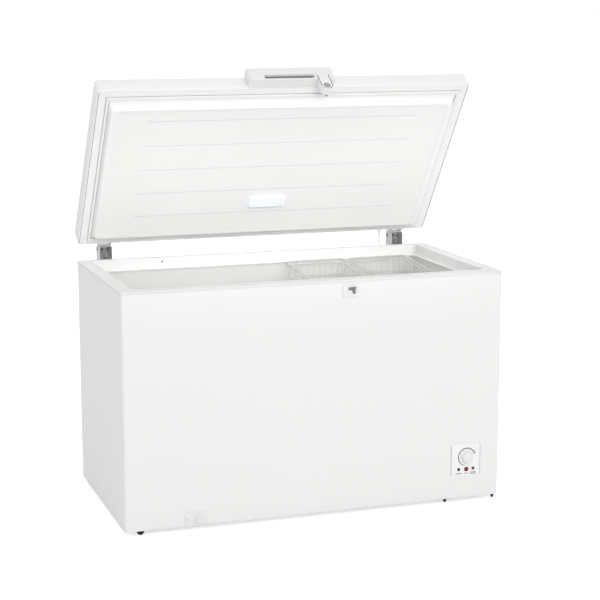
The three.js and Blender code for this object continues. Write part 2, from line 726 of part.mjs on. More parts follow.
const trayTop = skirt + bayTray;
const grommetSpots = [[-1, -1], [1, -1], [-1, 1], [1, 1]];
grommetSpots.forEach(([sx, sy], i) => {
  const mount = piece(`compressor_grommet_${i + 1}`, turned([
    [grommet.inner, 0], [grommet.outer, 0], [grommet.outer, grommet.height],
    [grommet.inner, grommet.height], [grommet.inner, 0],
  ], 12), blackRubber, cabinet);
  mount.position.set(compressorX + sx * compressor.footX, compressorY + sy * compressor.footY,
    trayTop + seat);
});

const plateLow = trayTop + grommet.height + 2 * seat;
function compressorShell() {
  const { radius, height, plate } = compressor;
  const [plateX, plateY] = [compressor.footX, compressor.footY].map((v) => v + compressor.footMargin);
  const dome = turned([
    [0, 0], [radius * 0.55, 2], [radius * 0.85, 12], [radius * 0.97, 26], [radius, 45],
    [radius, height - 60], [radius * 0.96, height - 38], [radius * 0.8, height - 14],
    [radius * 0.45, height - 2], [0, height],
  ], 28).translate(0, 0, plateLow + plate / 2);
  const feetPlate = box(-plateX, plateX, -plateY, plateY, plateLow, plateLow + plate);
  return join(dome, feetPlate);
}
const shell = piece('compressor', compressorShell(), blackEnamel, cabinet);
shell.position.set(compressorX, compressorY, 0);

piece('compressor_relay_cover',
  box(-relay.depth, 0, -relay.width / 2, relay.width / 2, 0, relay.height), blackPlastic, cabinet)
  .position.set(compressorX - compressor.radius - seat, compressorY, plateLow + relay.above);

const drierZ = skirt + condenserRows[condenserRows.length - 1];
piece('filter_drier', turned([
  [0, 0], [drier.neck, 0], [drier.radius, 8], [drier.radius, drier.length - 8],
  [drier.neck, drier.length], [0, drier.length],
], 12).rotateX(-Math.PI / 2), copper, cabinet).position.set(drierX, drierFront, drierZ);

const stubZ = plateLow + compressor.stub;
const condenserCorners = () => {
  const levels = condenserRows.map((row) => skirt + row);
  const inlet = skirt + condenserInlet;
  const corners = [
    [compressorX - 20, compressorY + compressor.radius + 1, stubZ],
    [compressorX - 20, condenserY, stubZ],
    [compressorX - 20, condenserY, inlet],
    [condenserRiser, condenserY, inlet],
    [condenserRiser, condenserY, levels[0]],
  ];
  levels.forEach((level, i) => {
    const goingLeft = i % 2 === 0;
    const from = goingLeft ? condenserRight : condenserLeft;
    const to = goingLeft ? condenserLeft : condenserRight;
    if (i > 0) corners.push([from, condenserY, level]);
    if (i < levels.length - 1) corners.push([to, condenserY, level]);
  });
  corners.push([drierX, condenserY, levels[levels.length - 1]]);
  corners.push([drierX, drierRear + seat, levels[levels.length - 1]]);
  return corners;
};
piece('condenser_coil', tube(bent(condenserCorners(), pipe.bend), pipe.radius, pipe.sides),
  copper, cabinet);

const evaporatorCorners = () => {
  const levels = evaporatorRows.map((row) => skirt + row);
  const supplyY = compressorY - pipe.supplyAhead;
  const corners = [
    [drierX, drierFront - seat, drierZ], [drierX, supplyY, drierZ],
    [coilX, supplyY, drierZ], [coilX, coilEnd, drierZ],
  ];
  levels.forEach((level, i) => {
    const start = i % 2 === 0 ? coilX : -coilX;
    const last = i === levels.length - 1;
    corners.push([start, coilEnd, level], [start, coilFront, level], [-start, coilFront, level],
      [-start, last ? coilReturn : coilEnd, level]);
  });
  corners.push([coilX, coilReturn, drierZ + 40], [coilX, compressorY, drierZ + 40],
    [compressorX + compressor.radius + 2 * seat, compressorY, drierZ + 40]);
  return corners;
};
piece('evaporator_coil', tube(bent(evaporatorCorners(), pipe.bend), pipe.radius, pipe.sides),
  copper, cabinet);

// A ventilated cover: a plate with upright slots.
function grille(width, height, thickness, slots, margin) {
  const pitch = (width - 2 * margin) / slots;
  const slotWidth = pitch * 0.45;
  const slotsCut = Array.from({ length: slots }, (_, i) => {
    const middle = -width / 2 + margin + pitch * (i + 0.5);
    return box(middle - slotWidth / 2, middle + slotWidth / 2, -eps, thickness + eps,
      -height / 2 + margin, height / 2 - margin);
  });
  return cut(box(-width / 2, width / 2, 0, thickness, -height / 2, height / 2), ...slotsCut);
}

const sideCover = piece('side_grille', grille(sideGrille.width + 2 * sideGrille.overlap,
  sideGrille.height + 2 * sideGrille.overlap, collar.flange, sideGrille.slots, 20),
whitePlastic, cabinet);
sideCover.rotation.z = Math.PI / 2;
sideCover.position.set(halfWidth, sideGrilleY, skirt + sideGrille.z);

const rearCover = {
  left: bayOpening.left - 8, right: bayOpening.right + 8, low: skirt + 2, high: bayOpening.high + 8,
};
const gland = {
  x: bayOpening.right - 40, z: rearCover.low + 17, radius: 11, bore: 4, neck: 7.5,
};
const rearGrille = cut(
  grille(rearCover.right - rearCover.left, rearCover.high - rearCover.low, 1.2, 11, 34)
    .translate((rearCover.left + rearCover.right) / 2, skinY + seat,
      (rearCover.low + rearCover.high) / 2),
  rod('y', gland.neck + seat, skinY - eps, skinY + 4, gland.x, gland.z, 14));
piece('rear_grille', rearGrille, whitePlastic, cabinet);

const glandMesh = piece('mains_gland', turned([
  [gland.bore, -6], [gland.neck, -6], [gland.neck, 1.8], [gland.radius, 1.8], [gland.radius, 5],
  [gland.neck, 12], [gland.bore, 12], [gland.bore, -6],
], 14).rotateX(-Math.PI / 2), blackRubber, cabinet);
glandMesh.position.set(gland.x, skinY, gland.z);

// ---------------------------------------------------------------------------------------------
// Feet

for (const { name, end, inset, side, radius } of feet) {
  const foot = piece(name, turned([
    [0, 0], [footTaper * radius - 1, 0], [footTaper * radius, 1], [radius, 9],
    [footStem * radius, 10.5], [footStem * radius, skirt - seat], [0, skirt - seat],
  ], 16), blackPlastic, cabinet);
  foot.position.set(end * (halfWidth - inset), side * (halfDepth - footInset), 0);
}

// ---------------------------------------------------------------------------------------------
// Hinges

const boreRadius = hinge.pin + 0.35;
const hingeTop = pivotZ + hinge.rise;
const hingeBottom = top - hinge.drop;
const webInside = pivotY + hinge.rear;
const bracketFoot = skinY + seat;
const radians = THREE.MathUtils.degToRad;

function hingeBracket() {
  const half = hinge.width / 2;
  const { sheet, foot } = hinge;
  const hat = polygon([
    [-half - foot, bracketFoot], [-half + sheet, bracketFoot], [-half + sheet, webInside],
    [half - sheet, webInside], [half - sheet, bracketFoot], [half + foot, bracketFoot],
    [half + foot, bracketFoot + sheet], [half, bracketFoot + sheet], [half, webInside + sheet],
    [-half, webInside + sheet], [-half, bracketFoot + sheet], [-half - foot, bracketFoot + sheet],
  ]);
  const channel = cut(
    prism(hat, 'z', hingeBottom, hingeTop),
    box(-half - foot - eps, half + foot + eps, bracketFoot - eps, pivotY - hinge.lidClearance,
      top - collar.flangeDrop - 2, hingeTop + eps),
    rod('x', boreRadius, -half - eps, half + eps, pivotY, pivotZ));
  const guideZ = pivotZ - guide.below;
  const guidePlate = cut(
    box(-half + sheet / 2, half - sheet / 2, bracketFoot, webInside + sheet / 2,
      guideZ - guide.thickness, guideZ),
    rod('z', plunger.rod + 0.6, guideZ - guide.thickness - eps, guideZ + eps,
      0, pivotY - plunger.ahead));
  return join(channel, guidePlate);
}

// Height of the roller's underside, from the pivot, at an opening angle.
function rollerUnder(degrees) {
  const angle = radians(degrees);
  return roller.ahead * Math.sin(angle) - roller.below * Math.cos(angle) - roller.radius;
}
// The plunger's travel is even over the lid's swing.
const plungerRate = (rollerUnder(lidFullOpening) - rollerUnder(0)) / lidFullOpening;
const plungerTop = rollerUnder(0) + plungerRate * lidOpening - seat;

function hingeSpring() {
  const low = -guide.below + spring.wire + seat;
  const high = plungerTop - plunger.headThickness - spring.wire - seat;
  const count = spring.turns * spring.stepsPerTurn;
  const points = Array.from({ length: count + 1 }, (_, i) => {
    const angle = 2 * Math.PI * i / spring.stepsPerTurn;
    return new THREE.Vector3(spring.radius * Math.cos(angle), spring.radius * Math.sin(angle),
      low + (high - low) * i / count);
  });
  return tube(points, spring.wire, 5);
}

const sides = { left: -hingeX, right: hingeX };
for (const [side, x] of Object.entries(sides)) {
  piece(`hinge_bracket_${side}`, hingeBracket(), galvanised, cabinet).position.x = x;

  const half = hinge.width / 2;
  piece(`hinge_pin_${side}`, turned([
    [0, -half - 2], [hinge.head, -half - 2], [hinge.head, -half - seat], [hinge.pin, -half - seat],
    [hinge.pin, half + seat], [hinge.head, half + seat], [hinge.head, half + 2], [0, half + 2],
  ], 16).rotateY(Math.PI / 2), darkMetal, cabinet).position.set(x, pivotY, pivotZ);

  const plungerPlace = [x, pivotY - plunger.ahead, pivotZ];
  piece(`hinge_plunger_${side}`, turned([
    [0, plungerTop - plunger.length], [plunger.rod, plungerTop - plunger.length],
    [plunger.rod, plungerTop - plunger.headThickness],
    [plunger.head, plungerTop - plunger.headThickness],
    [plunger.head, plungerTop], [0, plungerTop],
  ], 16), blackPlastic, cabinet).position.set(...plungerPlace);
  piece(`hinge_spring_${side}`, hingeSpring(), darkMetal, cabinet).position.set(...plungerPlace);
}

// ---------------------------------------------------------------------------------------------
// Baskets

const hookZ = top - collar.ledgeDrop + seat; // underside of the hooks, on the collar's ledge
const basketFront = -halfDepth + collar.front + ledgeEdge + collar.lip + basket.lipClearance;
const basketRear = halfDepth - collar.rear - ledgeEdge - collar.lip - basket.lipClearance;

const rimZ = hookZ + basket.hook;

// The tray: outer faces up from the floor, over the rim and down the inside to the floor again.
function basketTray() {
  const { width, depth, wall, taper, corner } = basket;
  const loop = (inset, z, radius) => ({
    left: -width / 2 + inset, right: width / 2 - inset,
    front: basketFront + inset, rear: basketRear - inset, z, corner: radius,
  });
  return skinned([
    loop(taper, rimZ - depth, corner), loop(0, rimZ, corner), loop(wall, rimZ, corner - wall),
    loop(taper + wall, rimZ - depth + wall, corner - wall),
  ]);
}

function hangingBasket() {
  const half = basket.width / 2;
  const shelf = half - basket.corner;
  const overFront = -halfDepth + collar.front + collar.draft + seat;
  const overRear = halfDepth - collar.rear - collar.draft - seat;
  const hooks = [
    box(-shelf, shelf, overFront, basketFront + basket.wall / 2, hookZ, rimZ),
    box(-shelf, shelf, basketRear - basket.wall / 2, overRear, hookZ, rimZ),
  ];
  // The long sides dip between the two ends.
  const middle = (basketFront + basketRear) / 2;
  const { dip, dipHalf, dipBend } = basket;
  const bendZ = rimZ - dip * (1 - dipBend / dipHalf);
  const sag = new THREE.Shape();
  sag.moveTo(middle - dipHalf, rimZ + eps);
  sag.lineTo(middle - dipBend, bendZ);
  sag.quadraticCurveTo(middle, rimZ - dip, middle + dipBend, bendZ);
  sag.lineTo(middle + dipHalf, rimZ + eps);
  return cut(join(basketTray(), ...hooks), prism(sag, 'x', -half - eps, half + eps));
}

for (const [name, inset] of Object.entries(basketInsets)) {
  piece(name, hangingBasket(), whitePlastic, cabinet).position.x = linerX - inset;
}

// ---------------------------------------------------------------------------------------------
// Lid. Every piece is drawn as on the closed lid, and the lid's group then turns about the
// hinge pins.

const lidGroup = new THREE.Group();
const lidPieces = new THREE.Group();
lidPieces.position.set(0, -pivotY, -pivotZ);
lidGroup.add(lidPieces);
lidGroup.position.set(0, pivotY, pivotZ);
lidGroup.rotation.x = -radians(lidOpening);
cabinet.add(lidGroup);

// A loop inside the lid's outer faces; `below` is measured down from the rim.
function lidLoop(side, front, rear, below, corner) {
  return {
    left: -lidX + side, right: lidX - side, front: lidFront + front, rear: lidRear - rear,
    z: rim - below, corner,
  };
}

function evenLoop(inset, below) {
  return lidLoop(inset, inset, inset, below, lid.corner - inset);
}

const { edge, thickness } = lid;
const lidSkin = skinned([
  evenLoop(edge, -thickness), evenLoop(edge * 0.3, -thickness + edge * 0.3),
  evenLoop(0, -thickness + edge), evenLoop(0, 0),
  evenLoop(steel, 0), evenLoop(steel, -thickness + edge),
  evenLoop(steel + edge * 0.25, -thickness + steel + edge * 0.25),
  evenLoop(edge, -thickness + steel),
]);
piece('lid_skin', lidSkin, whiteEnamel, lidPieces);

// The lining's section, from the rim inwards: distance inside the lid's side, front and rear
// faces, drop below the rim, corner radius, and the side on which the wall's thickness lies.
const trimGap = steel + 0.4;
const liningSection = [
  [trimGap, trimGap, trimGap, 0, 10, 0],
  [32, 27, 11, 0, 8, -1],
  [32, 27, 11, -5, 8, -1],
  [45, 45, 31, -5, 6, 1],
  [45, 45, 31, 1, 6, 1],
  [48, 61, 36, 1, 14, 1],
  [50, 68, 40, panDrop - 4, 18, 1],
  [54, 71, 44, panDrop, 20, 1],
  [73, 77, 52, panDrop, 22, -1],
  [75, 79, 54, panDrop - panField, 22, -1],
];

// The lining's hidden face, or any face parallel to it, `depth` above the visible one.
function liningLoops(depth) {
  return liningSection.map(([side, front, rear, below, corner, towards]) => lidLoop(
    side + towards * depth, front + towards * depth, rear + towards * depth, below - depth,
    corner - towards * depth));
}

const lampY = lidRear - lamp.behind;
const tubX = lamp.width / 2 - lamp.margin;
const tubY = lamp.depth / 2 - lamp.margin;
const fieldZ = rim - panDrop + panField; // the lining's middle, when the lid is closed
const lampWindow = box(-tubX - seat, tubX + seat, lampY - tubY - seat, lampY + tubY + seat,
  fieldZ - eps, fieldZ + lamp.tub + seat);
piece('lid_pan', cut(skinned([...liningLoops(lid.pan).reverse(), ...liningLoops(0)]), lampWindow),
  whitePlastic, lidPieces);

const foamInset = steel + 2 * seat;
const lidFoam = cut(skinned([
  ...liningLoops(lid.pan + seat).reverse().slice(0, -1),
  evenLoop(foamInset, -lid.pan - seat), evenLoop(foamInset, -thickness + edge + 1),
  evenLoop(edge + 1, -thickness + steel + seat),
]), lampWindow);
piece('lid_foam', lidFoam, foamYellow, lidPieces);

// Gasket: a soft tube in the lining's groove, with its foot clear of the groove's walls.
const gasketSection = [
  [34, 29, 13, -4.7], [34, 29, 13, -1], [33, 28, 12, 1], [33.5, 28.5, 12.5, 3.2],
  [36, 32, 16, 3.7], [40, 40, 26, 3.7], [43.5, 43.5, 29.5, 3.2], [44, 44, 30, 1],
  [43, 43, 29, -1], [43, 43, 29, -4.7],
];
piece('lid_gasket', skinned(gasketSection.map(([side, front, rear, below]) => lidLoop(
  side, front, rear, below, 7)), true), gasketWhite, lidPieces);

// Lamp
const tub = cut(
  box(-tubX, tubX, lampY - tubY, lampY + tubY, fieldZ, fieldZ + lamp.tub),
  box(-tubX + lamp.wall, tubX - lamp.wall, lampY - tubY + lamp.wall, lampY + tubY - lamp.wall,
    fieldZ - eps, fieldZ + lamp.tub - lamp.wall));
piece('lamp_housing', tub, whitePlastic, lidPieces);

function lampLoop(inset, below) {
  return {
    left: -lamp.width / 2 + inset, right: lamp.width / 2 - inset,
    front: lampY - lamp.depth / 2 + inset, rear: lampY + lamp.depth / 2 - inset,
    z: fieldZ - below, corner: 10 - inset / 2,
  };
}
piece('lamp_lens', skinned([
  lampLoop(0, seat), lampLoop(0, lamp.drop - 3), lampLoop(1, lamp.drop - 1),
  lampLoop(4, lamp.drop),
]), lampLensWhite, lidPieces);

// Handle across the lid's front wall: closed ends, a grip behind the front bar, and a slot
// under the bar for the fingers.
const handleFront = lidFront - handle.reach;
const handleBack = lidFront - seat;
const housingHalf = lock.width / 2;
const housingTop = rim + lock.rise;
const housingFront = handleFront - 2;
const housingBack = -halfDepth - lock.standoff;

function handleBody() {
  const { round } = handle;
  const side = new THREE.Shape();
  side.moveTo(handleBack, rim);
  side.lineTo(handleFront + round / 2, rim);
  side.lineTo(handleFront, rim + round / 2);
  side.lineTo(handleFront, lidTop - round);
  side.absarc(handleFront + round, lidTop - round, round, Math.PI, Math.PI / 2, true);
  side.lineTo(handleBack, lidTop);
  const left = -handle.halfWidth + handle.endLeft;
  const right = handle.halfWidth - handle.endRight;
  const grip = box(left, right, handleFront + handle.wall, handleBack - handle.wall / 2,
    rim + handle.floor, lidTop - handle.wall);
  const slot = box(left, right, handleFront - eps, handleFront + handle.wall + eps,
    rim + handle.floor, rim + handle.grip);
  const lockRoom = box(lockX - housingHalf - seat, lockX + housingHalf + seat,
    handleFront - eps, housingBack + seat, rim - eps, housingTop + seat);
  const roundX = -handle.halfWidth + handle.endRound;
  const roundY = handleFront + handle.endRound;
  const outsideRound = cut(
    box(-handle.halfWidth - eps, roundX, handleFront - eps, roundY, rim - eps, lidTop + eps),
    rod('z', handle.endRound, rim - 2 * eps, lidTop + 2 * eps, roundX, roundY, 24));
  return cut(prism(side, 'x', -handle.halfWidth, handle.halfWidth, 4),
    grip, slot, lockRoom, outsideRound);
}
piece('lid_handle', handleBody(), whitePlastic, lidPieces);

// Lock: a housing with a round lower end, and a barrel that turns the cam behind it.
function lockHousing() {
  const shape = new THREE.Shape();
  shape.moveTo(lockX - housingHalf, housingTop);
  shape.lineTo(lockX - housingHalf, lockLow + housingHalf);
  shape.absarc(lockX, lockLow + housingHalf, housingHalf, Math.PI, 0, false);
  shape.lineTo(lockX + housingHalf, housingTop);
  return cut(prism(shape, 'y', housingFront, housingBack, 8),
    rod('y', lock.barrel + 2 * seat, housingFront - eps, housingBack + eps, lockX, barrelZ));
}
piece('lock_housing', lockHousing(), whitePlastic, lidPieces);

const camBack = hookFace - lock.camGap;
const keyway = { halfWidth: 0.9, halfHeight: 4, depth: 6 };
function lockBarrel() {
  const front = housingFront - lock.barrelProud;
  const barrel = cut(rod('y', lock.barrel, front, camBack - lock.cam, lockX, barrelZ),
    box(lockX - keyway.halfWidth, lockX + keyway.halfWidth, front - eps, front + keyway.depth,
      barrelZ - keyway.halfHeight, barrelZ + keyway.halfHeight));
  const cam = box(lockX - lock.camWidth / 2, lockX + lock.camWidth / 2,
    camBack - lock.cam - 0.01, camBack, barrelZ - lock.camReach, barrelZ + lock.camWidth / 2);
  const stem = rod('y', 3, camBack - lock.cam - 2, camBack - lock.cam / 2, lockX, barrelZ, 12);
  return join(barrel, cam, stem);
}
piece('lock_barrel', lockBarrel(), darkMetal, lidPieces);

// Hinge leaves: a plate on the lid's rear wall, two arms to the pin, and the roller between.
const leaf = { foot: 4, head: 6, armFoot: 6, shoulder: 12, shoulderRise: 22, armRise: 26 };
function hingeLeaf() {
  const half = hinge.width / 2 - hinge.sheet - seat;
  const plateFace = lidRear + seat;
  const arm = new THREE.Shape();
  arm.moveTo(plateFace, rim + leaf.armFoot);
  arm.lineTo(pivotY - roller.ahead, pivotZ - roller.below - roller.radius - 1);
  arm.lineTo(pivotY - 2, pivotZ - hinge.arm);
  arm.absarc(pivotY, pivotZ, hinge.arm, -Math.PI / 2, Math.PI / 2, false);
  arm.lineTo(lidRear + leaf.shoulder, pivotZ + leaf.shoulderRise);
  arm.lineTo(plateFace, pivotZ + leaf.armRise);
  const armAt = (x) => cut(prism(arm, 'x', x, x + hinge.armWall, 6),
    rod('x', boreRadius, x - eps, x + hinge.armWall + eps, pivotY, pivotZ));
  return join(
    box(-half, half, plateFace, plateFace + hinge.armWall, rim + leaf.foot, lidTop - leaf.head),
    armAt(-half), armAt(half - hinge.armWall),
    rod('x', roller.radius, -half + 1, half - 1, pivotY - roller.ahead, pivotZ - roller.below, 14));
}
for (const [side, x] of Object.entries(sides)) {
  piece(`hinge_leaf_${side}`, hingeLeaf(), galvanised, lidPieces).position.x = x;
}

// Lead of the lid's lamp, from a bush in the cabinet's back up to the lid's rear wall.
const restAngle = radians(lidOpening);
function asOpened(y, z) { // where a point of the closed lid stands at rest
  const [dy, dz] = [y - pivotY, z - pivotZ];
  return [
    pivotY + dy * Math.cos(restAngle) + dz * Math.sin(restAngle),
    pivotZ - dy * Math.sin(restAngle) + dz * Math.cos(restAngle),
  ];
}
const leadLow = top - lead.below;
const leadHoleZ = rim + lid.thickness * 0.5;
const leadEnds = [asOpened(lidRear + 3 * seat, leadHoleZ), asOpened(lidRear + 14, leadHoleZ)];
const leadKnots = [
  [skinY + 2 * seat, leadLow], [skinY + 10, leadLow], [halfDepth + lead.behind - 3, leadLow + 9],
  [halfDepth + lead.behind, leadLow + 26], [halfDepth + lead.behind + 2, top],
  [halfDepth + lead.behind + 10, top + 30], leadEnds[1], leadEnds[0],
].map(([y, z], i, all) => new THREE.Vector3(
  hingeX - lead.beside - lead.lean * (1 - THREE.MathUtils.clamp((i - 1) / (all.length - 3), 0, 1)),
  y, z));
piece('lamp_lead', tube(new THREE.CatmullRomCurve3(leadKnots, false, 'centripetal').getPoints(28),
  lead.radius, 10), whitePlastic, cabinet);

// ---------------------------------------------------------------------------------------------
// The freezer over the origin

const frontReach = skinY + seat + panel.proud + knob.depth;
const rearReach = webInside + hinge.sheet;
const freezer = new THREE.Group();
freezer.position.y = (frontReach - rearReach) / 2;
freezer.add(cabinet);

export default freezer;
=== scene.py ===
"""Chest freezer with a sprung lid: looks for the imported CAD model, laid out as an add-on."""
import json
import math

import bmesh
import bpy
from mathutils import Matrix, Vector


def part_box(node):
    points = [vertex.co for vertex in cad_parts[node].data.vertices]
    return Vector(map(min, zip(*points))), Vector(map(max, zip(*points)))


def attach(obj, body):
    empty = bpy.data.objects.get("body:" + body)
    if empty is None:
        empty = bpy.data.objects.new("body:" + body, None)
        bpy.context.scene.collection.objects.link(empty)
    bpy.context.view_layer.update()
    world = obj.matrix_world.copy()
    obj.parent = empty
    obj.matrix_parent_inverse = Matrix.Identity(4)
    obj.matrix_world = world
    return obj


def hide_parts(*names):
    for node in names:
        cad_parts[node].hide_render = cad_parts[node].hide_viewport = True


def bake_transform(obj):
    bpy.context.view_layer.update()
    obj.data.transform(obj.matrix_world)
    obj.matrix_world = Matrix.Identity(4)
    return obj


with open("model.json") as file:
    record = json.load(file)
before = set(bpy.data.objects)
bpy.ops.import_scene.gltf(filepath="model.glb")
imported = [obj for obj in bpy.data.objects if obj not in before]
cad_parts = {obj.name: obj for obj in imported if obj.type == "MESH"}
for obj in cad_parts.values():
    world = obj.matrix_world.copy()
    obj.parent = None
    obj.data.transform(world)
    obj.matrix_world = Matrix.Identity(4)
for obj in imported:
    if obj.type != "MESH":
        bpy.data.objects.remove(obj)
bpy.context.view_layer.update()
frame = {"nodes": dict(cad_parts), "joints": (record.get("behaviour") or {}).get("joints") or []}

bl_info = {
    "name": "Chest freezer",
    "version": (1, 0, 0),
    "blender": (4, 5, 0),
    "location": "3D View > Sidebar > Freezer",
    "description": "Dresses the chest freezer's CAD frame with finished pieces and materials",
    "category": "Object",
}

MM = 0.001
QUARTER = [math.radians(15 * k) for k in range(7)]  # the angles of a rolled edge
ALONG_X, ALONG_Y, ALONG_Z = (1, 0, 0), (0, 1, 0), (0, 0, 1)

# ---- Where things are ----

LID_HINGE = next(j for j in frame["joints"] if j["name"] == "lid_hinge")
PIVOT = Vector(LID_HINGE["pos_m"])
OPENING = math.radians(-LID_HINGE["range_deg"][0])
AS_OPENED = (Matrix.Translation(PIVOT) @ Matrix.Rotation(-OPENING, 4, "X")
             @ Matrix.Translation(-PIVOT))
AS_SHUT = AS_OPENED.inverted()


def shut_box(node):
    """Lowest and highest corner of one of the lid's CAD nodes, with the lid shut."""
    points = [AS_SHUT @ v.co for v in frame["nodes"][node].data.vertices]
    low = Vector(min(p[i] for p in points) for i in range(3))
    high = Vector(max(p[i] for p in points) for i in range(3))
    return low, high


def centre(low, high):
    return Vector((a + b) / 2 for a, b in zip(low, high))


# ---- Sizes and colours that a user would change ----


def colour(label, default, text):
    return bpy.props.StringProperty(name=label, description=text + ", sRGB hex", default=default)


def length(label, millimetres, text):
    return bpy.props.FloatProperty(
        name=label, description=text, default=millimetres * MM, unit="LENGTH")


def whole(label, default, text):
    return bpy.props.IntProperty(name=label, description=text, default=default)


class FreezerColours(bpy.types.PropertyGroup):
    enamel: colour("Enamel", "F2F2F1", "Painted steel of the cabinet and lid")
    plastic: colour("White plastic", "EDEDEC", "Handle, lock, grilles and drain")
    lining: colour("Lid lining", "F9F9F8", "Formed lining of the lid")
    liner: colour("Liner", "EBECEA", "Embossed aluminium of the well")
    power: colour("Power lens", "17372B", "Green pilot lens")
    alarm: colour("Alarm lens", "6E1620", "Red pilot lens")
    fast: colour("Fast freeze lens", "38321F", "Olive pilot lens")


class BasketSizes(bpy.types.PropertyGroup):
    wire: length("Wire", 2.2, "Thickness of the thin wires")
    rim: length("Rim wire", 3.2, "Thickness of the rim wire")
    pitch: length("Cross pitch", 14.0, "From one cross wire to the next")
    long_wires: whole("Long wires", 9, "Wires from the front to the rear")
    hoops: whole("Hoops", 3, "Wires round the sides")
    taper: length("Taper", 9.0, "How far each side leans in at the floor")
    dip: length("Dip", 21.0, "How far the long sides dip in their middle")
    dip_half: length("Half dip", 272.0, "Half the length over which the long sides dip")
    bend: length("Bend", 12.0, "Radius of the wires' bends")


class CollarSizes(bpy.types.PropertyGroup):
    side: length("Side band", 48.0, "Width of the flat band at the sides")
    front: length("Front band", 54.0, "Width of the flat band at the front")
    rear: length("Rear band", 26.0, "Width of the flat band at the rear")
    draft: length("Draft", 2.0, "How far the inner wall leans in")
    ledge_drop: length("Ledge drop", 36.0, "From the band down to the baskets' ledge")
    ledge: length("Ledge", 5.0, "Width of the baskets' ledge")


class LidSizes(bpy.types.PropertyGroup):
    edge: length("Edge roll", 6.0, "Radius of the lid's top edge")
    fold: length("Fold", 6.0, "Radius of the roll at the skin's lower edge")
    corner: length("Corner", 12.0, "Radius of the lid's corners in plan")
    rib_width: length("Rib width", 5.0, "Width of a rib of the lining")
    rib_height: length("Rib height", 0.4, "How far a rib stands out")


class PanelSizes(bpy.types.PropertyGroup):
    arc_radius: length("Arc radius", 30.5, "Radius of the printed temperature arc")
    arc_line: length("Arc line", 2.9, "Widest part of the printed arc")


# ---- Materials ----


def linear(hex_colour):
    """An sRGB hex colour as linear red, green, blue and alpha."""
    out = []
    for i in (0, 2, 4):
        c = int(hex_colour[i:i + 2], 16) / 255
        out.append(c / 12.92 if c <= 0.04045 else ((c + 0.055) / 1.055) ** 2.4)
    return (*out, 1.0)


def add(tree, kind, sockets=None, **settings):
    """Adds a node with its settings; sockets maps its inputs to values or to other outputs."""
    made = tree.nodes.new(kind)
    for name, value in settings.items():
        setattr(made, name, value)
    for key, value in (sockets or {}).items():
        if isinstance(value, bpy.types.NodeSocket):
            tree.links.new(value, made.inputs[key])
        else:
            made.inputs[key].default_value = value
    return made


def blank(data):
    """The emptied node tree of a material or a world."""
    data.use_nodes = True
    data.node_tree.nodes.clear()
    return data.node_tree


def coat(tree, relief, depth_mm, sockets):
    """Ends a material: its relief, a Principled shader with these sockets, and the output."""
    bump = add(tree, "ShaderNodeBump", {
        "Height": relief, "Distance": depth_mm * MM, "Strength": 1.0})
    shader = add(tree, "ShaderNodeBsdfPrincipled", {**sockets, "Normal": bump.outputs["Normal"]})
    add(tree, "ShaderNodeOutputMaterial", {"Surface": shader.outputs["BSDF"]})


def finish(name, tones, patch_mm, roughness, grain_mm, height_mm, cells=False, metallic=0.0,
           **principled):
    """A procedural finish: two near tones in soft patches, a roughness range and a fine relief.

    The relief is noise for a moulded or painted skin, and cells for an embossed one.
    """
    material = bpy.data.materials.new(name)
    tree = blank(material)
    place = add(tree, "ShaderNodeTexCoord").outputs["Object"]
    patches = add(tree, "ShaderNodeTexNoise", {
        "Vector": place, "Scale": 1 / (patch_mm * MM), "Detail": 3.0}).outputs["Fac"]
    tone = add(tree, "ShaderNodeMix", {
        0: patches, 6: linear(tones[0]), 7: linear(tones[1])}, data_type="RGBA")
    rough = add(tree, "ShaderNodeMapRange", {
        "Value": patches, "From Min": 0.3, "From Max": 0.7,
        "To Min": roughness[0], "To Max": roughness[1]})
    grain = {"Vector": place, "Scale": 1 / (grain_mm * MM)}
    if cells:
        relief = add(tree, "ShaderNodeTexVoronoi", {**grain, "Smoothness": 0.6},
                     feature="SMOOTH_F1").outputs["Distance"]
    else:
        relief = add(tree, "ShaderNodeTexNoise", {**grain, "Detail": 2.0}).outputs["Fac"]
    coat(tree, relief, height_mm, {
        "Base Color": tone.outputs[2], "Roughness": rough.outputs["Result"],
        "Metallic": metallic,
        **{key.replace("_", " ").title(): value for key, value in principled.items()}})
    return material


def galvanised():
    """Weathered galvanised sheet: each crystal of the dull zinc has its own tone and gloss."""
    material = bpy.data.materials.new("galvanised_sheet_steel")
    tree = blank(material)
    place = add(tree, "ShaderNodeTexCoord").outputs["Object"]
    crystals = add(tree, "ShaderNodeTexVoronoi", {
        "Vector": place, "Scale": 1 / (9.0 * MM), "Randomness": 1.0})
    tone = add(tree, "ShaderNodeSeparateColor", {0: crystals.outputs["Color"]})
    tint = add(tree, "ShaderNodeMix", {
        0: tone.outputs[0], 6: linear("CDCFD0"), 7: linear("E2E3E3")}, data_type="RGBA")
    rough = add(tree, "ShaderNodeMapRange", {
        "Value": tone.outputs[1], "To Min": 0.32, "To Max": 0.5})
    grit = add(tree, "ShaderNodeTexNoise", {
        "Vector": place, "Scale": 1 / (2.0 * MM), "Detail": 3.0})
    coat(tree, grit.outputs["Fac"], 0.02, {
        "Base Color": tint.outputs[2], "Metallic": 0.35, "Roughness": rough.outputs["Result"]})
    return material


MATERIALS = {}


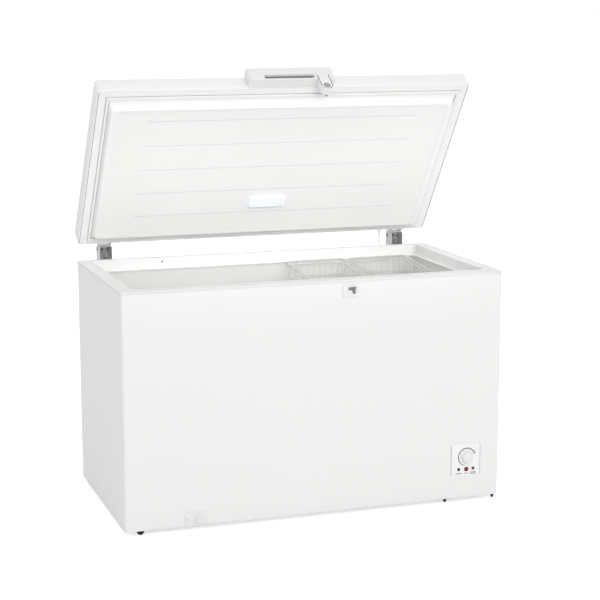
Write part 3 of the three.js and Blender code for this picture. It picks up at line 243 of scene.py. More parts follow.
def make_materials(colours):
    """Every finish of the freezer, under a short name for it."""
    glow = linear("E8EEF6")
    table = {  # name, two tones, size of their patches, roughness range, grain and its depth
        # Baked polyester enamel on steel sheet: smooth and softly glossy, faint orange peel.
        "enamel": ("baked_white_enamel", (colours.enamel, "F0F0EF"), 260, (0.30, 0.36),
                   3.0, 0.012),
        # Injection moulded polystyrene: satin, with a fine spark-eroded grain.
        "plastic": ("moulded_white_polystyrene", (colours.plastic, "EBEBEA"), 90, (0.38, 0.46),
                    0.9, 0.01),
        # Vacuum formed polystyrene sheet: smoother, and drawn slightly wavy over the mould.
        "lining": ("vacuum_formed_white_polystyrene", (colours.lining, "F7F7F6"), 180,
                   (0.34, 0.42), 14.0, 0.03),
        # Extruded soft PVC: matt, slightly chalky.
        "gasket": ("extruded_soft_pvc", ("F4F4F3", "F1F1F0"), 60, (0.6, 0.7), 1.5, 0.02),
        # Painted shade: the lining's plastic a shade greyer, on the ribs, for the soft grey lines
        # their shading makes.
        "rib_painted_shade": ("thinly_drawn_polystyrene", ("E9E9E9", "E6E6E6"), 180, (0.4, 0.46),
                   14.0, 0.02),
        # Firm grey PVC profile; as the lid's gap strip, the lock's groove and the panel's right
        # edge strip it is painted shade of gaps.
        "edging": ("grey_pvc_edging", ("56585A", "626466"), 30, (0.5, 0.6), 1.0, 0.01),
        # Stucco-embossed aluminium sheet with a clear lacquer: pale grey, pebbled.
        "liner": ("stucco_embossed_aluminium", (colours.liner, "E6E7E5"), 140, (0.42, 0.52),
                  7.0, 0.25, True, 0.25),
        # Epoxy powder on drawn wire.
        "wire": ("powder_coated_wire", ("E2E2E0", "DDDDDB"), 30, (0.3, 0.38), 1.2, 0.01),
        # The collar's heavier sheet of the same plastic, a shade less bright.
        "collar": ("thick_white_polystyrene", ("E9E9E8", "E7E7E6"), 90, (0.34, 0.4),
                   6.0, 0.02),
        # The panel's brighter, glossier polystyrene.
        "panel": ("gloss_white_polystyrene", ("F7F7F6", "F4F4F3"), 60, (0.18, 0.24),
                  1.2, 0.01),
        # Polyethylene bush, grey: soft and a little waxy.
        "grey_plastic": ("grey_polyethylene", ("A6A7A6", "9E9F9E"), 10, (0.45, 0.55),
                         0.8, 0.01),
        # Painted shade: light grey and matt, a strip along the panel's left edge for the pale shade
        # line there.
        "edge_shade": ("grey_thermoplastic_rubber", ("D2D2D1", "CCCCCB"), 40, (0.6, 0.7), 1.0, 0.01),
        # Polypropylene, black, as moulded.
        "black_plastic": ("black_polypropylene", ("1C1C1D", "232324"), 12, (0.45, 0.58),
                          0.8, 0.02),
        # Nitrile rubber of the compressor's mounts and the mains bush.
        "rubber": ("black_nitrile_rubber", ("161616", "1D1D1C"), 10, (0.7, 0.82), 1.0, 0.03),
        # Zinc-plated steel with a dull phosphate grey over it.
        "dark_steel": ("phosphated_steel", ("8E9092", "828486"), 8, (0.38, 0.5),
                       1.4, 0.01, False, 0.5),
        # Satin nickel plate on the lock's barrel and the hinges' plungers.
        "nickel": ("satin_nickel_plate", ("C9C7C2", "B9B7B2"), 6, (0.25, 0.38),
                   1.0, 0.005, False, 1.0),
        # Passivated zinc on spring wire: pale, with a soft metal gloss.
        "spring": ("zinc_plated_spring_steel", ("D2D3D4", "C6C8C9"), 5, (0.3, 0.45),
                   1.0, 0.01, False, 0.4),
        # Black stoving enamel on the compressor's pressed steel shell.
        "black_enamel": ("black_stoved_enamel", ("18191A", "202122"), 60, (0.25, 0.4),
                         2.0, 0.02, {"coat_weight": 0.2}),
        # Drawn copper tube, dulled by handling.
        "copper": ("drawn_copper_tube", ("B9704F", "9C5A3E"), 25, (0.28, 0.45),
                   2.0, 0.02, False, 1.0),
        # Rigid polyurethane foam, blown behind the sheet.
        "foam": ("rigid_polyurethane_foam", ("E6D7A4", "D8C48A"), 20, (0.85, 0.95),
                 1.2, 0.2, True),
        # Frosted, ribbed polycarbonate in front of the lamp.
        "lamp": ("frosted_polycarbonate", ("F5F8FB", "F1F5F9"), 20, (0.25, 0.35), 4.0, 0.05,
                 {"emission_color": glow, "emission_strength": 0.13}),
        # Tinted acrylic lenses of the pilot lamps.
        "power": ("green_acrylic_lens", (colours.power, "1F4A38"), 6, (0.12, 0.2), 3.0, 0.01,
                  {"coat_weight": 0.5}),
        "alarm": ("red_acrylic_lens", (colours.alarm, "7E1C28"), 6, (0.12, 0.2), 3.0, 0.01,
                  {"coat_weight": 0.5}),
        "fast": ("olive_acrylic_lens", (colours.fast, "453F2A"), 6, (0.12, 0.2), 3.0, 0.01,
                 {"coat_weight": 0.5}),
        # Pad-printed inks of the panel.
        "ink": ("grey_pad_print", ("2E2F30", "38393A"), 10, (0.55, 0.6), 0.8, 0.003),
        "pale_ink": ("grey_green_pad_print", ("66736C", "6E7A74"), 10, (0.55, 0.6),
                     0.8, 0.003),
        "red_ink": ("rose_pad_print", ("B4606C", "BA6A75"), 10, (0.55, 0.6), 0.8, 0.003),
    }
    for key, row in table.items():
        *settings, last = row
        more = last if isinstance(last, dict) else {}
        MATERIALS[key] = finish(*(settings if more else row), **more)
    MATERIALS["zinc"] = galvanised()


# ---- Making pieces ----


def new_piece(name, points, faces, smooth=35):
    """A mesh object, faces outward, smooth but for edges sharper than `smooth` degrees."""
    mesh = bpy.data.meshes.new(name)
    mesh.from_pydata([tuple(p) for p in points], [], faces)
    mesh.validate()
    obj = bpy.data.objects.new(name, mesh)
    bpy.context.scene.collection.objects.link(obj)
    shape = bmesh.new()
    shape.from_mesh(mesh)
    bmesh.ops.remove_doubles(shape, verts=shape.verts, dist=1e-6)
    bmesh.ops.recalc_face_normals(shape, faces=shape.faces)
    shape.to_mesh(mesh)
    shape.free()
    soften(obj, smooth)
    return obj


def net(name, points, edges, attribute, kind, field, values):
    """A piece of bare points and edges, with one attribute, for a Geometry Nodes tree."""
    mesh = bpy.data.meshes.new(name)
    mesh.from_pydata(points, edges, [])
    mesh.attributes.new(attribute, kind, "POINT").data.foreach_set(field, values)
    obj = bpy.data.objects.new(name, mesh)
    bpy.context.scene.collection.objects.link(obj)
    return obj


def soften(obj, degrees):
    obj.data.shade_smooth()
    obj.data.set_sharp_from_angle(angle=math.radians(degrees))


def moved(obj, matrix):
    obj.data.transform(matrix)
    obj.data.update()
    return obj


def settled(obj):
    """Works the piece's modifiers into its mesh."""
    graph = bpy.context.evaluated_depsgraph_get()
    mesh = bpy.data.meshes.new_from_object(obj.evaluated_get(graph), depsgraph=graph)
    obj.modifiers.clear()
    obj.data = mesh
    return obj


def painted(obj, material):
    obj.data.materials.clear()
    obj.data.materials.append(MATERIALS[material])
    return obj


def finished(obj, body, material, slot, *nodes):
    """Gives a piece its finish and its body, and hides the nodes it replaces; its slot is not used.
    """
    painted(obj, material)
    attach(obj, body)
    if nodes:
        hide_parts(*nodes)


def opened(name, shape, smooth, material, slot, *nodes):
    """A finished piece of the lid, from points and faces drawn with the lid shut."""
    piece = moved(new_piece(name, *shape, smooth), AS_OPENED)
    finished(piece, "lid", material, slot, *nodes)


def from_node(node, name, round_mm=0.5, steps=2, smooth=35):
    """A merged copy of a CAD node with rounded edges and evenly shaded flats."""
    shape = bmesh.new()
    shape.from_mesh(frame["nodes"][node].data)
    bmesh.ops.remove_doubles(shape, verts=shape.verts, dist=2e-5)
    bmesh.ops.dissolve_limit(shape, angle_limit=math.radians(0.8), verts=shape.verts,
                             edges=shape.edges)
    shape.verts.index_update()
    points = [v.co.copy() for v in shape.verts]
    faces = [[v.index for v in f.verts] for f in shape.faces]
    shape.free()
    obj = new_piece(name, points, faces, smooth)
    if round_mm:
        bevel = obj.modifiers.new("Rounded edges", "BEVEL")
        bevel.limit_method = "ANGLE"
        bevel.angle_limit = math.radians(32)
        bevel.width = round_mm * MM
        bevel.segments = steps
        bevel.use_clamp_overlap = True
        obj.modifiers.new("Even shading", "WEIGHTED_NORMAL").keep_sharp = True
        settled(obj)
    return obj


def dress(body, material, slot, *rows):
    """Finished copies of CAD nodes: each row has a node, a name, and from_node's settings."""
    for node, name, *settings in rows:
        finished(from_node(node, name, *settings), body, material, slot, node)


def loop(low, high, insets, z, corner, rear_corner=None):
    """A box's outline from above, drawn in at its sides, front and rear, as points at height z.

    The insets and the radii of the corners are in mm.
    """
    steps = 8
    side, front, rear = (inset * MM for inset in insets)
    near = max(corner, 0.3) * MM
    far = near if rear_corner is None else max(rear_corner, 0.3) * MM
    left, right, front, rear = low.x + side, high.x - side, low.y + front, high.y - rear
    points = []
    for quarter, (x, y, radius) in enumerate((
            (right - far, rear - far, far), (left + far, rear - far, far),
            (left + near, front + near, near), (right - near, front + near, near))):
        for i in range(steps + 1):
            angle = (quarter + i / steps) * math.pi / 2
            points.append(Vector((x + radius * math.cos(angle), y + radius * math.sin(angle), z)))
    return points


def skin(loops, ring=False):
    """Points and faces of a skin through a row of loops, closed as a ring or with two caps."""
    count, rows = len(loops[0]), len(loops)
    points = [p for one in loops for p in one]
    faces = []
    for r in range(rows if ring else rows - 1):
        s = (r + 1) % rows
        for i in range(count):
            j = (i + 1) % count
            faces.append((r * count + i, r * count + j, s * count + j, s * count + i))
    if not ring:
        faces.append(tuple(range(count)))
        faces.append(tuple((rows - 1) * count + i for i in range(count)))
    return points, faces


def prism(outline, start, end, axis=1):
    """Points and faces of a flat outline drawn along an axis; the outline has the other two."""
    count = len(outline)
    points = [(*pair[:axis], at, *pair[axis:]) for at in (start, end) for pair in outline]
    faces = [tuple(range(count)), tuple(range(2 * count - 1, count - 1, -1))]
    faces += [(i, (i + 1) % count, count + (i + 1) % count, count + i) for i in range(count)]
    return points, faces


def block(low, high):
    return prism([(low[0], low[2]), (high[0], low[2]), (high[0], high[2]), (low[0], high[2])],
                 low[1], high[1])


def joined(name, parts):
    """One piece from several (points, faces) pairs."""
    points, faces = [], []
    for more_points, more_faces in parts:
        start = len(points)
        points += more_points
        faces += [tuple(i + start for i in f) for f in more_faces]
    return new_piece(name, points, faces)


def turned(name, profile, base, axis, sides=48, smooth=35):
    """A turned piece: radius and height pairs, in mm, about an axis through base."""
    place = Matrix.Translation(base) @ (
        Vector(ALONG_Z).rotation_difference(Vector(axis)).to_matrix().to_4x4())
    points, faces, rows = [], [], []
    for radius, height in profile:
        if not radius:
            rows.append([len(points)])
            points.append(place @ Vector((0, 0, height * MM)))
            continue
        rows.append(list(range(len(points), len(points) + sides)))
        for i in range(sides):
            angle = 2 * math.pi * i / sides
            points.append(place @ Vector((radius * MM * math.cos(angle),
                                          radius * MM * math.sin(angle), height * MM)))
    for low, high in zip(rows, rows[1:]):
        for i in range(sides):
            j = (i + 1) % sides
            if len(low) == 1 and len(high) > 1:
                faces.append((low[0], high[j], high[i]))
            elif len(high) == 1 and len(low) > 1:
                faces.append((low[i], low[j], high[0]))
            elif len(low) > 1:
                faces.append((low[i], low[j], high[j], high[i]))
    return new_piece(name, points, faces, smooth)


def bent_line(corners, bend, closed=False):
    """A polyline whose corners are turned into bends."""
    steps = 4
    knots = [Vector(c) for c in corners]
    out = []
    for i, knot in enumerate(knots):
        if not closed and i in (0, len(knots) - 1):
            out.append(knot)
            continue
        before, after = knots[i - 1], knots[(i + 1) % len(knots)]
        a = knot + (before - knot).normalized() * bend
        b = knot + (after - knot).normalized() * bend
        for s in range(steps + 1):
            t = s / steps
            out.append(a * (1 - t) ** 2 + knot * 2 * t * (1 - t) + b * t ** 2)
    return out


def split_long(points, longest, closed=False):
    """The same line with points added along its straight runs."""
    out = []
    pairs = list(zip(points, points[1:]))
    if closed:
        pairs.append((points[-1], points[0]))
    for a, b in pairs:
        parts = max(1, math.ceil((b - a).length / longest))
        out += [a + (b - a) * k / parts for k in range(parts)]
    return out if closed else out + [points[-1]]


# ---- Geometry Nodes ----


def node_tree(name, inputs):
    """A Geometry Nodes tree with a geometry in and out and named inputs, and those inputs."""
    tree = bpy.data.node_groups.new(name, "GeometryNodeTree")
    tree.interface.new_socket("Geometry", in_out="INPUT", socket_type="NodeSocketGeometry")
    for label, kind in inputs.items():
        tree.interface.new_socket(label, in_out="INPUT", socket_type="NodeSocket" + kind)
    tree.interface.new_socket("Geometry", in_out="OUTPUT", socket_type="NodeSocketGeometry")
    return tree, add(tree, "NodeGroupInput").outputs


def close_tree(tree, geometry, material):
    """Ends a tree: instances made real, then one material."""
    real = add(tree, "GeometryNodeRealizeInstances", {"Geometry": geometry})
    coated = add(tree, "GeometryNodeSetMaterial", {
        "Geometry": real.outputs["Geometry"], "Material": material})
    add(tree, "NodeGroupOutput", {0: coated.outputs["Geometry"]})
    return tree


def run_tree(obj, tree, values):
    """Runs a tree on the piece with its named inputs set, and keeps the result as a plain mesh."""
    modifier = obj.modifiers.new(tree.name, "NODES")
    modifier.node_group = tree
    for item in tree.interface.items_tree:
        if item.item_type == "SOCKET" and item.in_out == "INPUT" and item.name in values:
            modifier[item.identifier] = values[item.name]
    return settled(obj)


def repeated(tree, geometry, count, step):
    """Instances of a geometry at even steps along a line."""
    spots = add(tree, "GeometryNodeMeshLine", {"Count": count, "Offset": step}, mode="OFFSET")
    return add(tree, "GeometryNodeInstanceOnPoints", {
        "Points": spots.outputs["Mesh"], "Instance": geometry}).outputs["Instances"]


def swept(tree, curve, radius, sides):
    """A capped round wire along a curve."""
    section = add(tree, "GeometryNodeCurvePrimitiveCircle", {
        "Resolution": sides, "Radius": radius})
    wire = add(tree, "GeometryNodeCurveToMesh", {
        "Curve": curve, "Profile Curve": section.outputs["Curve"], "Fill Caps": True})
    return add(tree, "GeometryNodeSetShadeSmooth", {0: wire.outputs["Mesh"]}).outputs[0]


def repeat_tree():
    """Repeats the piece at even steps along a line."""
    tree, given = node_tree("evenly_repeated", {
        "Count": "Int", "Step": "Vector", "Material": "Material"})
    row = repeated(tree, given["Geometry"], given["Count"], given["Step"])
    return close_tree(tree, row, given["Material"])


def spots_tree():
    """Sets a copy of the fastener on every point, its axis along the point's own outward vector."""
    tree, given = node_tree("fasteners_on_spots", {
        "Fastener": "Object", "Material": "Material"})
    way = add(tree, "GeometryNodeInputNamedAttribute", {"Name": "outward"},
              data_type="FLOAT_VECTOR")
    turn = add(tree, "FunctionNodeAlignRotationToVector", {
        "Vector": way.outputs["Attribute"]}, axis="Z")
    head = add(tree, "GeometryNodeObjectInfo", {"Object": given["Fastener"]})
    placed = add(tree, "GeometryNodeInstanceOnPoints", {
        "Points": given["Geometry"], "Instance": head.outputs["Geometry"],
        "Rotation": turn.outputs["Rotation"]})
    return close_tree(tree, placed.outputs["Instances"], given["Material"])


def spring_tree():
    """A helical spring standing on the origin."""
    tree, given = node_tree("coil_spring", {
        "Radius": "Float", "Height": "Float", "Turns": "Float", "Wire": "Float",
        "Material": "Material"})
    helix = add(tree, "GeometryNodeCurveSpiral", {
        "Resolution": 20, "Rotations": given["Turns"], "Start Radius": given["Radius"],
        "End Radius": given["Radius"], "Height": given["Height"]})
    return close_tree(tree, swept(tree, helix.outputs["Curve"], given["Wire"], 8),
                      given["Material"])


def basket_tree():
    """A wire basket from one wire of each kind.

    The piece's own edges are the rim wires, one cross wire, one long wire and one hoop, told
    apart by the attribute `kind`, 0 to 3. Each kind but the rim is repeated at its step. All the
    wires are then leaned in towards the floor, the long sides are dipped, and the wires get
    their thickness.
    """
    tree, given = node_tree("wire_basket", {
        "Cross Count": "Int", "Cross Step": "Vector", "Long Count": "Int",
        "Long Step": "Vector", "Hoop Count": "Int", "Hoop Step": "Vector",
        "Middle": "Vector", "Floor": "Float", "Depth": "Float", "Taper": "Vector",
        "Dip": "Float", "Dip From": "Float", "Dip To": "Float", "Wire": "Float",
        "Rim": "Float", "Material": "Material"})
    kind = add(tree, "GeometryNodeInputNamedAttribute", {"Name": "kind"}, data_type="INT")

    def only(number):
        same = add(tree, "FunctionNodeCompare", {2: kind.outputs["Attribute"], 3: number},
                   data_type="INT", operation="EQUAL")
        return add(tree, "GeometryNodeSeparateGeometry", {
            "Geometry": given["Geometry"], "Selection": same.outputs["Result"]},
            domain="POINT").outputs["Selection"]

    thin = add(tree, "GeometryNodeJoinGeometry")
    for number, name in enumerate(("Cross", "Long", "Hoop"), 1):
        row = repeated(tree, only(number), given[name + " Count"], given[name + " Step"])
        tree.links.new(row, thin.inputs[0])
    thin_real = add(tree, "GeometryNodeRealizeInstances", {"Geometry": thin.outputs[0]})

    # Height above the floor as a share of the depth, and the lean and dip that go with it.
    position = add(tree, "GeometryNodeInputPosition").outputs[0]
    height = add(tree, "ShaderNodeSeparateXYZ", {0: position}).outputs["Z"]
    above = add(tree, "ShaderNodeMath", {0: height, 1: given["Floor"]}, operation="SUBTRACT")
    share = add(tree, "ShaderNodeMath", {0: above.outputs[0], 1: given["Depth"]},
                operation="DIVIDE", use_clamp=True).outputs[0]
    left = add(tree, "ShaderNodeMath", {0: 1.0, 1: share}, operation="SUBTRACT")
    off = add(tree, "ShaderNodeVectorMath", {0: position, 1: given["Middle"]},
              operation="SUBTRACT").outputs[0]
    full = add(tree, "ShaderNodeVectorMath", {0: off, 1: given["Taper"]}, operation="MULTIPLY")
    lean = add(tree, "ShaderNodeVectorMath", {0: full.outputs[0], "Scale": left.outputs[0]},
               operation="SCALE")
    away = add(tree, "ShaderNodeMath", {
        0: add(tree, "ShaderNodeSeparateXYZ", {0: off}).outputs["Y"]}, operation="ABSOLUTE")
    dip = add(tree, "ShaderNodeMapRange", {
        "Value": away.outputs[0], "From Min": given["Dip From"], "From Max": given["Dip To"],
        "To Min": given["Dip"], "To Max": 0.0})
    sink = add(tree, "ShaderNodeMath", {0: dip.outputs[0], 1: share}, operation="MULTIPLY")
    sink = add(tree, "ShaderNodeCombineXYZ", {"Z": sink.outputs[0]})
    down = add(tree, "ShaderNodeVectorMath", {0: lean.outputs[0], 1: sink.outputs[0]},
               operation="ADD")
    shift = add(tree, "ShaderNodeVectorMath", {0: down.outputs[0], "Scale": -1.0},
                operation="SCALE").outputs[0]

    both = add(tree, "GeometryNodeJoinGeometry")
    for mesh, thickness, sides in ((thin_real.outputs[0], "Wire", 6), (only(0), "Rim", 10)):
        shaped = add(tree, "GeometryNodeSetPosition", {"Geometry": mesh, "Offset": shift})
        line = add(tree, "GeometryNodeMeshToCurve", {"Mesh": shaped.outputs["Geometry"]})
        radius = add(tree, "ShaderNodeMath", {0: given[thickness], 1: 0.5}, operation="MULTIPLY")
        wire = swept(tree, line.outputs["Curve"], radius.outputs[0], sides)
        tree.links.new(wire, both.inputs[0])
    return close_tree(tree, both.outputs[0], given["Material"])


# ---- Stage and materials ----


class FREEZER_OT_stage(bpy.types.Operator):
    """Sets the camera, the pale floor, the soft lamps and the world"""
    bl_idname = "freezer.stage"
    bl_label = "Stage"

    def execute(self, context):
        scene = context.scene
        scene.view_settings.view_transform = "Standard"
        camera = bpy.data.objects.new("camera", bpy.data.cameras.new("camera"))
        camera.data.lens, camera.data.sensor_width, camera.data.clip_end = 97.97, 36, 60
        camera.location = (-1.72656, -5.21385, 1.68034)
        camera.rotation_euler = (math.radians(90 - 10.49), 0, math.radians(-18.9))
        scene.collection.objects.link(camera)
        scene.camera = camera
        self.floor(scene)
        self.world(scene)
        self.lamps(scene)
        return {"FINISHED"}

    def floor(self, scene):
        """Matt white floor paint, lifted to white where the camera sees it."""
        half, white, lift = 30.0, 0.9, 0.6
        mesh = bpy.data.meshes.new("floor")
        mesh.from_pydata([(-half, -half, 0), (half, -half, 0), (half, half, 0), (-half, half, 0)],
                         [], [(0, 1, 2, 3)])
        floor = bpy.data.objects.new("floor", mesh)
        scene.collection.objects.link(floor)
        material = bpy.data.materials.new("matt_white_floor_paint")
        tree = blank(material)
        path = add(tree, "ShaderNodeLightPath").outputs
        seen = add(tree, "ShaderNodeMath", {0: path["Is Camera Ray"], 1: lift},
                   operation="MULTIPLY")
        paint = add(tree, "ShaderNodeBsdfDiffuse", {"Color": (white, white, white, 1)})
        pale = add(tree, "ShaderNodeEmission", {
            "Color": (1, 1, 1, 1), "Strength": seen.outputs[0]})
        both = add(tree, "ShaderNodeAddShader", {0: paint.outputs[0], 1: pale.outputs[0]})
        add(tree, "ShaderNodeOutputMaterial", {"Surface": both.outputs[0]})
        mesh.materials.append(material)

    def world(self, scene):
        """A white room, a little dimmer for the light it sheds than where it is seen."""
        world = bpy.data.worlds.new("white_room")
        scene.world = world
        tree = blank(world)
        path = add(tree, "ShaderNodeLightPath").outputs
        seen = path["Is Camera Ray"]
        for ray in ("Is Glossy Ray", "Is Transmission Ray"):
            seen = add(tree, "ShaderNodeMath", {0: seen, 1: path[ray]},
                       operation="MAXIMUM").outputs[0]
        strength = add(tree, "ShaderNodeMapRange", {"Value": seen, "To Min": 0.83, "To Max": 1.0})
        sky = add(tree, "ShaderNodeBackground", {
            "Color": (1, 1, 1, 1), "Strength": strength.outputs["Result"]})
        add(tree, "ShaderNodeOutputWorld", {"Surface": sky.outputs[0]})

    def lamps(self, scene):
        for name, place, aim, width, height, power, spread in (  # spread in degrees
                ("key_lamp", (0.3, -4.7, 2.5), (0, 0, 0.7), 3.0, 3.0, 48.5, 180),
                # Low enough to be inside the lid when that is shut.
                ("well_lamp", (0, -0.02, 0.84), (0, -0.02, 0), 1.16, 0.46, 0.42, 180),
                ("lid_lamp", (0, -1.25, 1.5), (0, 0.33, 0.86), 1.3, 0.3, 1.08, 34)):
            data = bpy.data.lights.new(name, "AREA")
            data.shape = "RECTANGLE"
            data.size, data.size_y = width, height
            data.energy, data.spread = power, math.radians(spread)
            lamp = bpy.data.objects.new(name, data)
            lamp.location = place
            lamp.rotation_euler = (Vector(aim) - Vector(place)).to_track_quat("-Z", "Y").to_euler()
            lamp.visible_camera = lamp.visible_glossy = False
            scene.collection.objects.link(lamp)


class FREEZER_OT_materials(bpy.types.Operator):
    """Makes every finish of the freezer"""
    bl_idname = "freezer.materials"
    bl_label = "Materials"

    def execute(self, context):
        make_materials(context.scene.freezer_colours)
        return {"FINISHED"}


# ---- Cabinet ----


class FREEZER_OT_cabinet(bpy.types.Operator):
    """Makes the enamelled wrapper, the plain sheets and the feet"""
    bl_idname = "freezer.cabinet"
    bl_label = "Cabinet"

    def execute(self, context):
        dress("cabinet", "enamel", "white_enamel", ("outer_wrapper", "cabinet_wrapper", 0.2, 1))
        dress("cabinet", "zinc", "galvanised_sheet",
              ("back_panel", "cabinet_back", 0.2, 1), ("base_panel", "cabinet_base", 0.2, 1),
              ("compressor_tray", "bay_tray", 0.2, 1), ("bay_partition", "bay_wall", 0.2, 1))
        dress("cabinet", "foam", "polyurethane_foam", ("insulation_foam", "blown_foam", 0))
        self.rail()
        for spot in ("front_left", "front_middle", "front_right",
                     "rear_left", "rear_middle", "rear_right"):
            self.foot("foot_" + spot)
        return {"FINISHED"}

    def rail(self):
        """A short folded rail under the front edge, beside the left foot."""
        foot_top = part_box("foot_front_left")[1]
        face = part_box("outer_wrapper")[0].y
        outline = [(face + y * MM, foot_top.z - drop * MM) for y, drop in (
            (2, 0), (2, 2.2), (14, 2.2), (14, 1.2), (3, 1.2), (3, 0))]
        shape = prism(outline, foot_top.x + 10 * MM, foot_top.x + 118 * MM, axis=0)
        finished(new_piece("skirt_rail", *shape), "cabinet", "enamel", "white_enamel")

    def foot(self, node):
        """A tapered foot on a threaded stem."""
        low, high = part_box(node)
        spot = centre(low, high)
        radius, top = (high.x - low.x) / 2 / MM, high.z / MM
        sole, stem, thread, pitch = 0.6 * radius, 0.45 * radius, 0.4, 0.45
        profile = [(0, 0), (sole - 1, 0), (sole - 0.3, 0.3), (sole, 1), (radius - 0.5, 7.9),
                   (radius, 8.6), (radius - 0.3, 9.3), (stem + 0.8, 9.7), (stem, 10.2)]
        profile += [(stem + thread * (k % 2), 10.4 + pitch * k)
                    for k in range(int((top - 10.6) / pitch))]
        profile += [(stem, top), (0, top)]
        foot = turned(node + "_turned", profile, (spot.x, spot.y, 0), ALONG_Z, 40)
        finished(foot, "cabinet", "black_plastic", "black_plastic", node)


class FREEZER_OT_well(bpy.types.Operator):
    """Makes the embossed liner of the storage well"""
    bl_idname = "freezer.well"
    bl_label = "Storage well"

    def execute(self, context):
        dress("cabinet", "liner", "embossed_aluminium", ("inner_liner", "well_liner", 0))
        return {"FINISHED"}


class FREEZER_OT_collar(bpy.types.Operator):
    """Makes the moulded collar round the mouth of the well"""
    bl_idname = "freezer.collar"
    bl_label = "Collar"

    def execute(self, context):
        sizes = context.scene.freezer_collar
        low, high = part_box("top_frame")
        side, front, rear, draft, foot, ledge = (size / MM for size in (
            sizes.side, sizes.front, sizes.rear, sizes.draft, sizes.ledge_drop, sizes.ledge))
        depth = (high.z - low.z) / MM
        roll, ease, cove, lip = 2.5, 3.0, 1.6, 2.0

        def flange(inset, drop):
            return loop(low, high, (inset, inset, inset), high.z - drop * MM, 12 - inset, 0.6)

        def band(inset, drop, corner):
            return loop(low, high, (side + inset, front + inset, rear + inset),
                        high.z - drop * MM, corner)

        edge = draft + ledge
        loops = [flange(0.5, 8.0), flange(0, 7.5)]
        loops += [flange(roll - roll * math.cos(a), roll - roll * math.sin(a)) for a in QUARTER]
        loops += [band(ease * math.sin(a) - ease, ease - ease * math.cos(a), 17)
                  for a in QUARTER]
        loops += [band(*row) for row in (  # inset, drop and corner
            (draft, foot - cove, 15), (draft + 0.5, foot - 0.5, 14.5), (draft + cove, foot, 14),
            (edge, foot, 12), (edge + 0.6 * lip, foot + 0.4, 11), (edge + lip, foot + 1.6, 10),
            (edge + lip, depth - 1.4, 10), (edge + 0.5 * lip, depth, 11), (edge, depth, 12),
            (edge, foot + 2, 12), (0, foot + 2, 16), (-2, 2, 18))]
        loops += [flange(1.2, 2), flange(1.2, 8.0)]
        collar = new_piece("collar", *skin(loops, ring=True), smooth=50)
        finished(collar, "cabinet", "collar", "white_plastic", "top_frame")

        # Relief vent in the collar's rear wall: a small grey bush.
        vent = turned("relief_vent", [(0, 0.4), (2.2, 0.4), (2.6, -0.2), (3.2, -0.2), (4.0, 0.4),
                                      (4.0, 2.0), (0, 2.0)],
                      (low.x + 295 * MM, high.y - sizes.rear - 2.6 * MM, high.z - 14 * MM),
                      ALONG_Y, 24)
        finished(vent, "cabinet", "grey_plastic", "white_plastic")
        return {"FINISHED"}


# ---- Lid ----


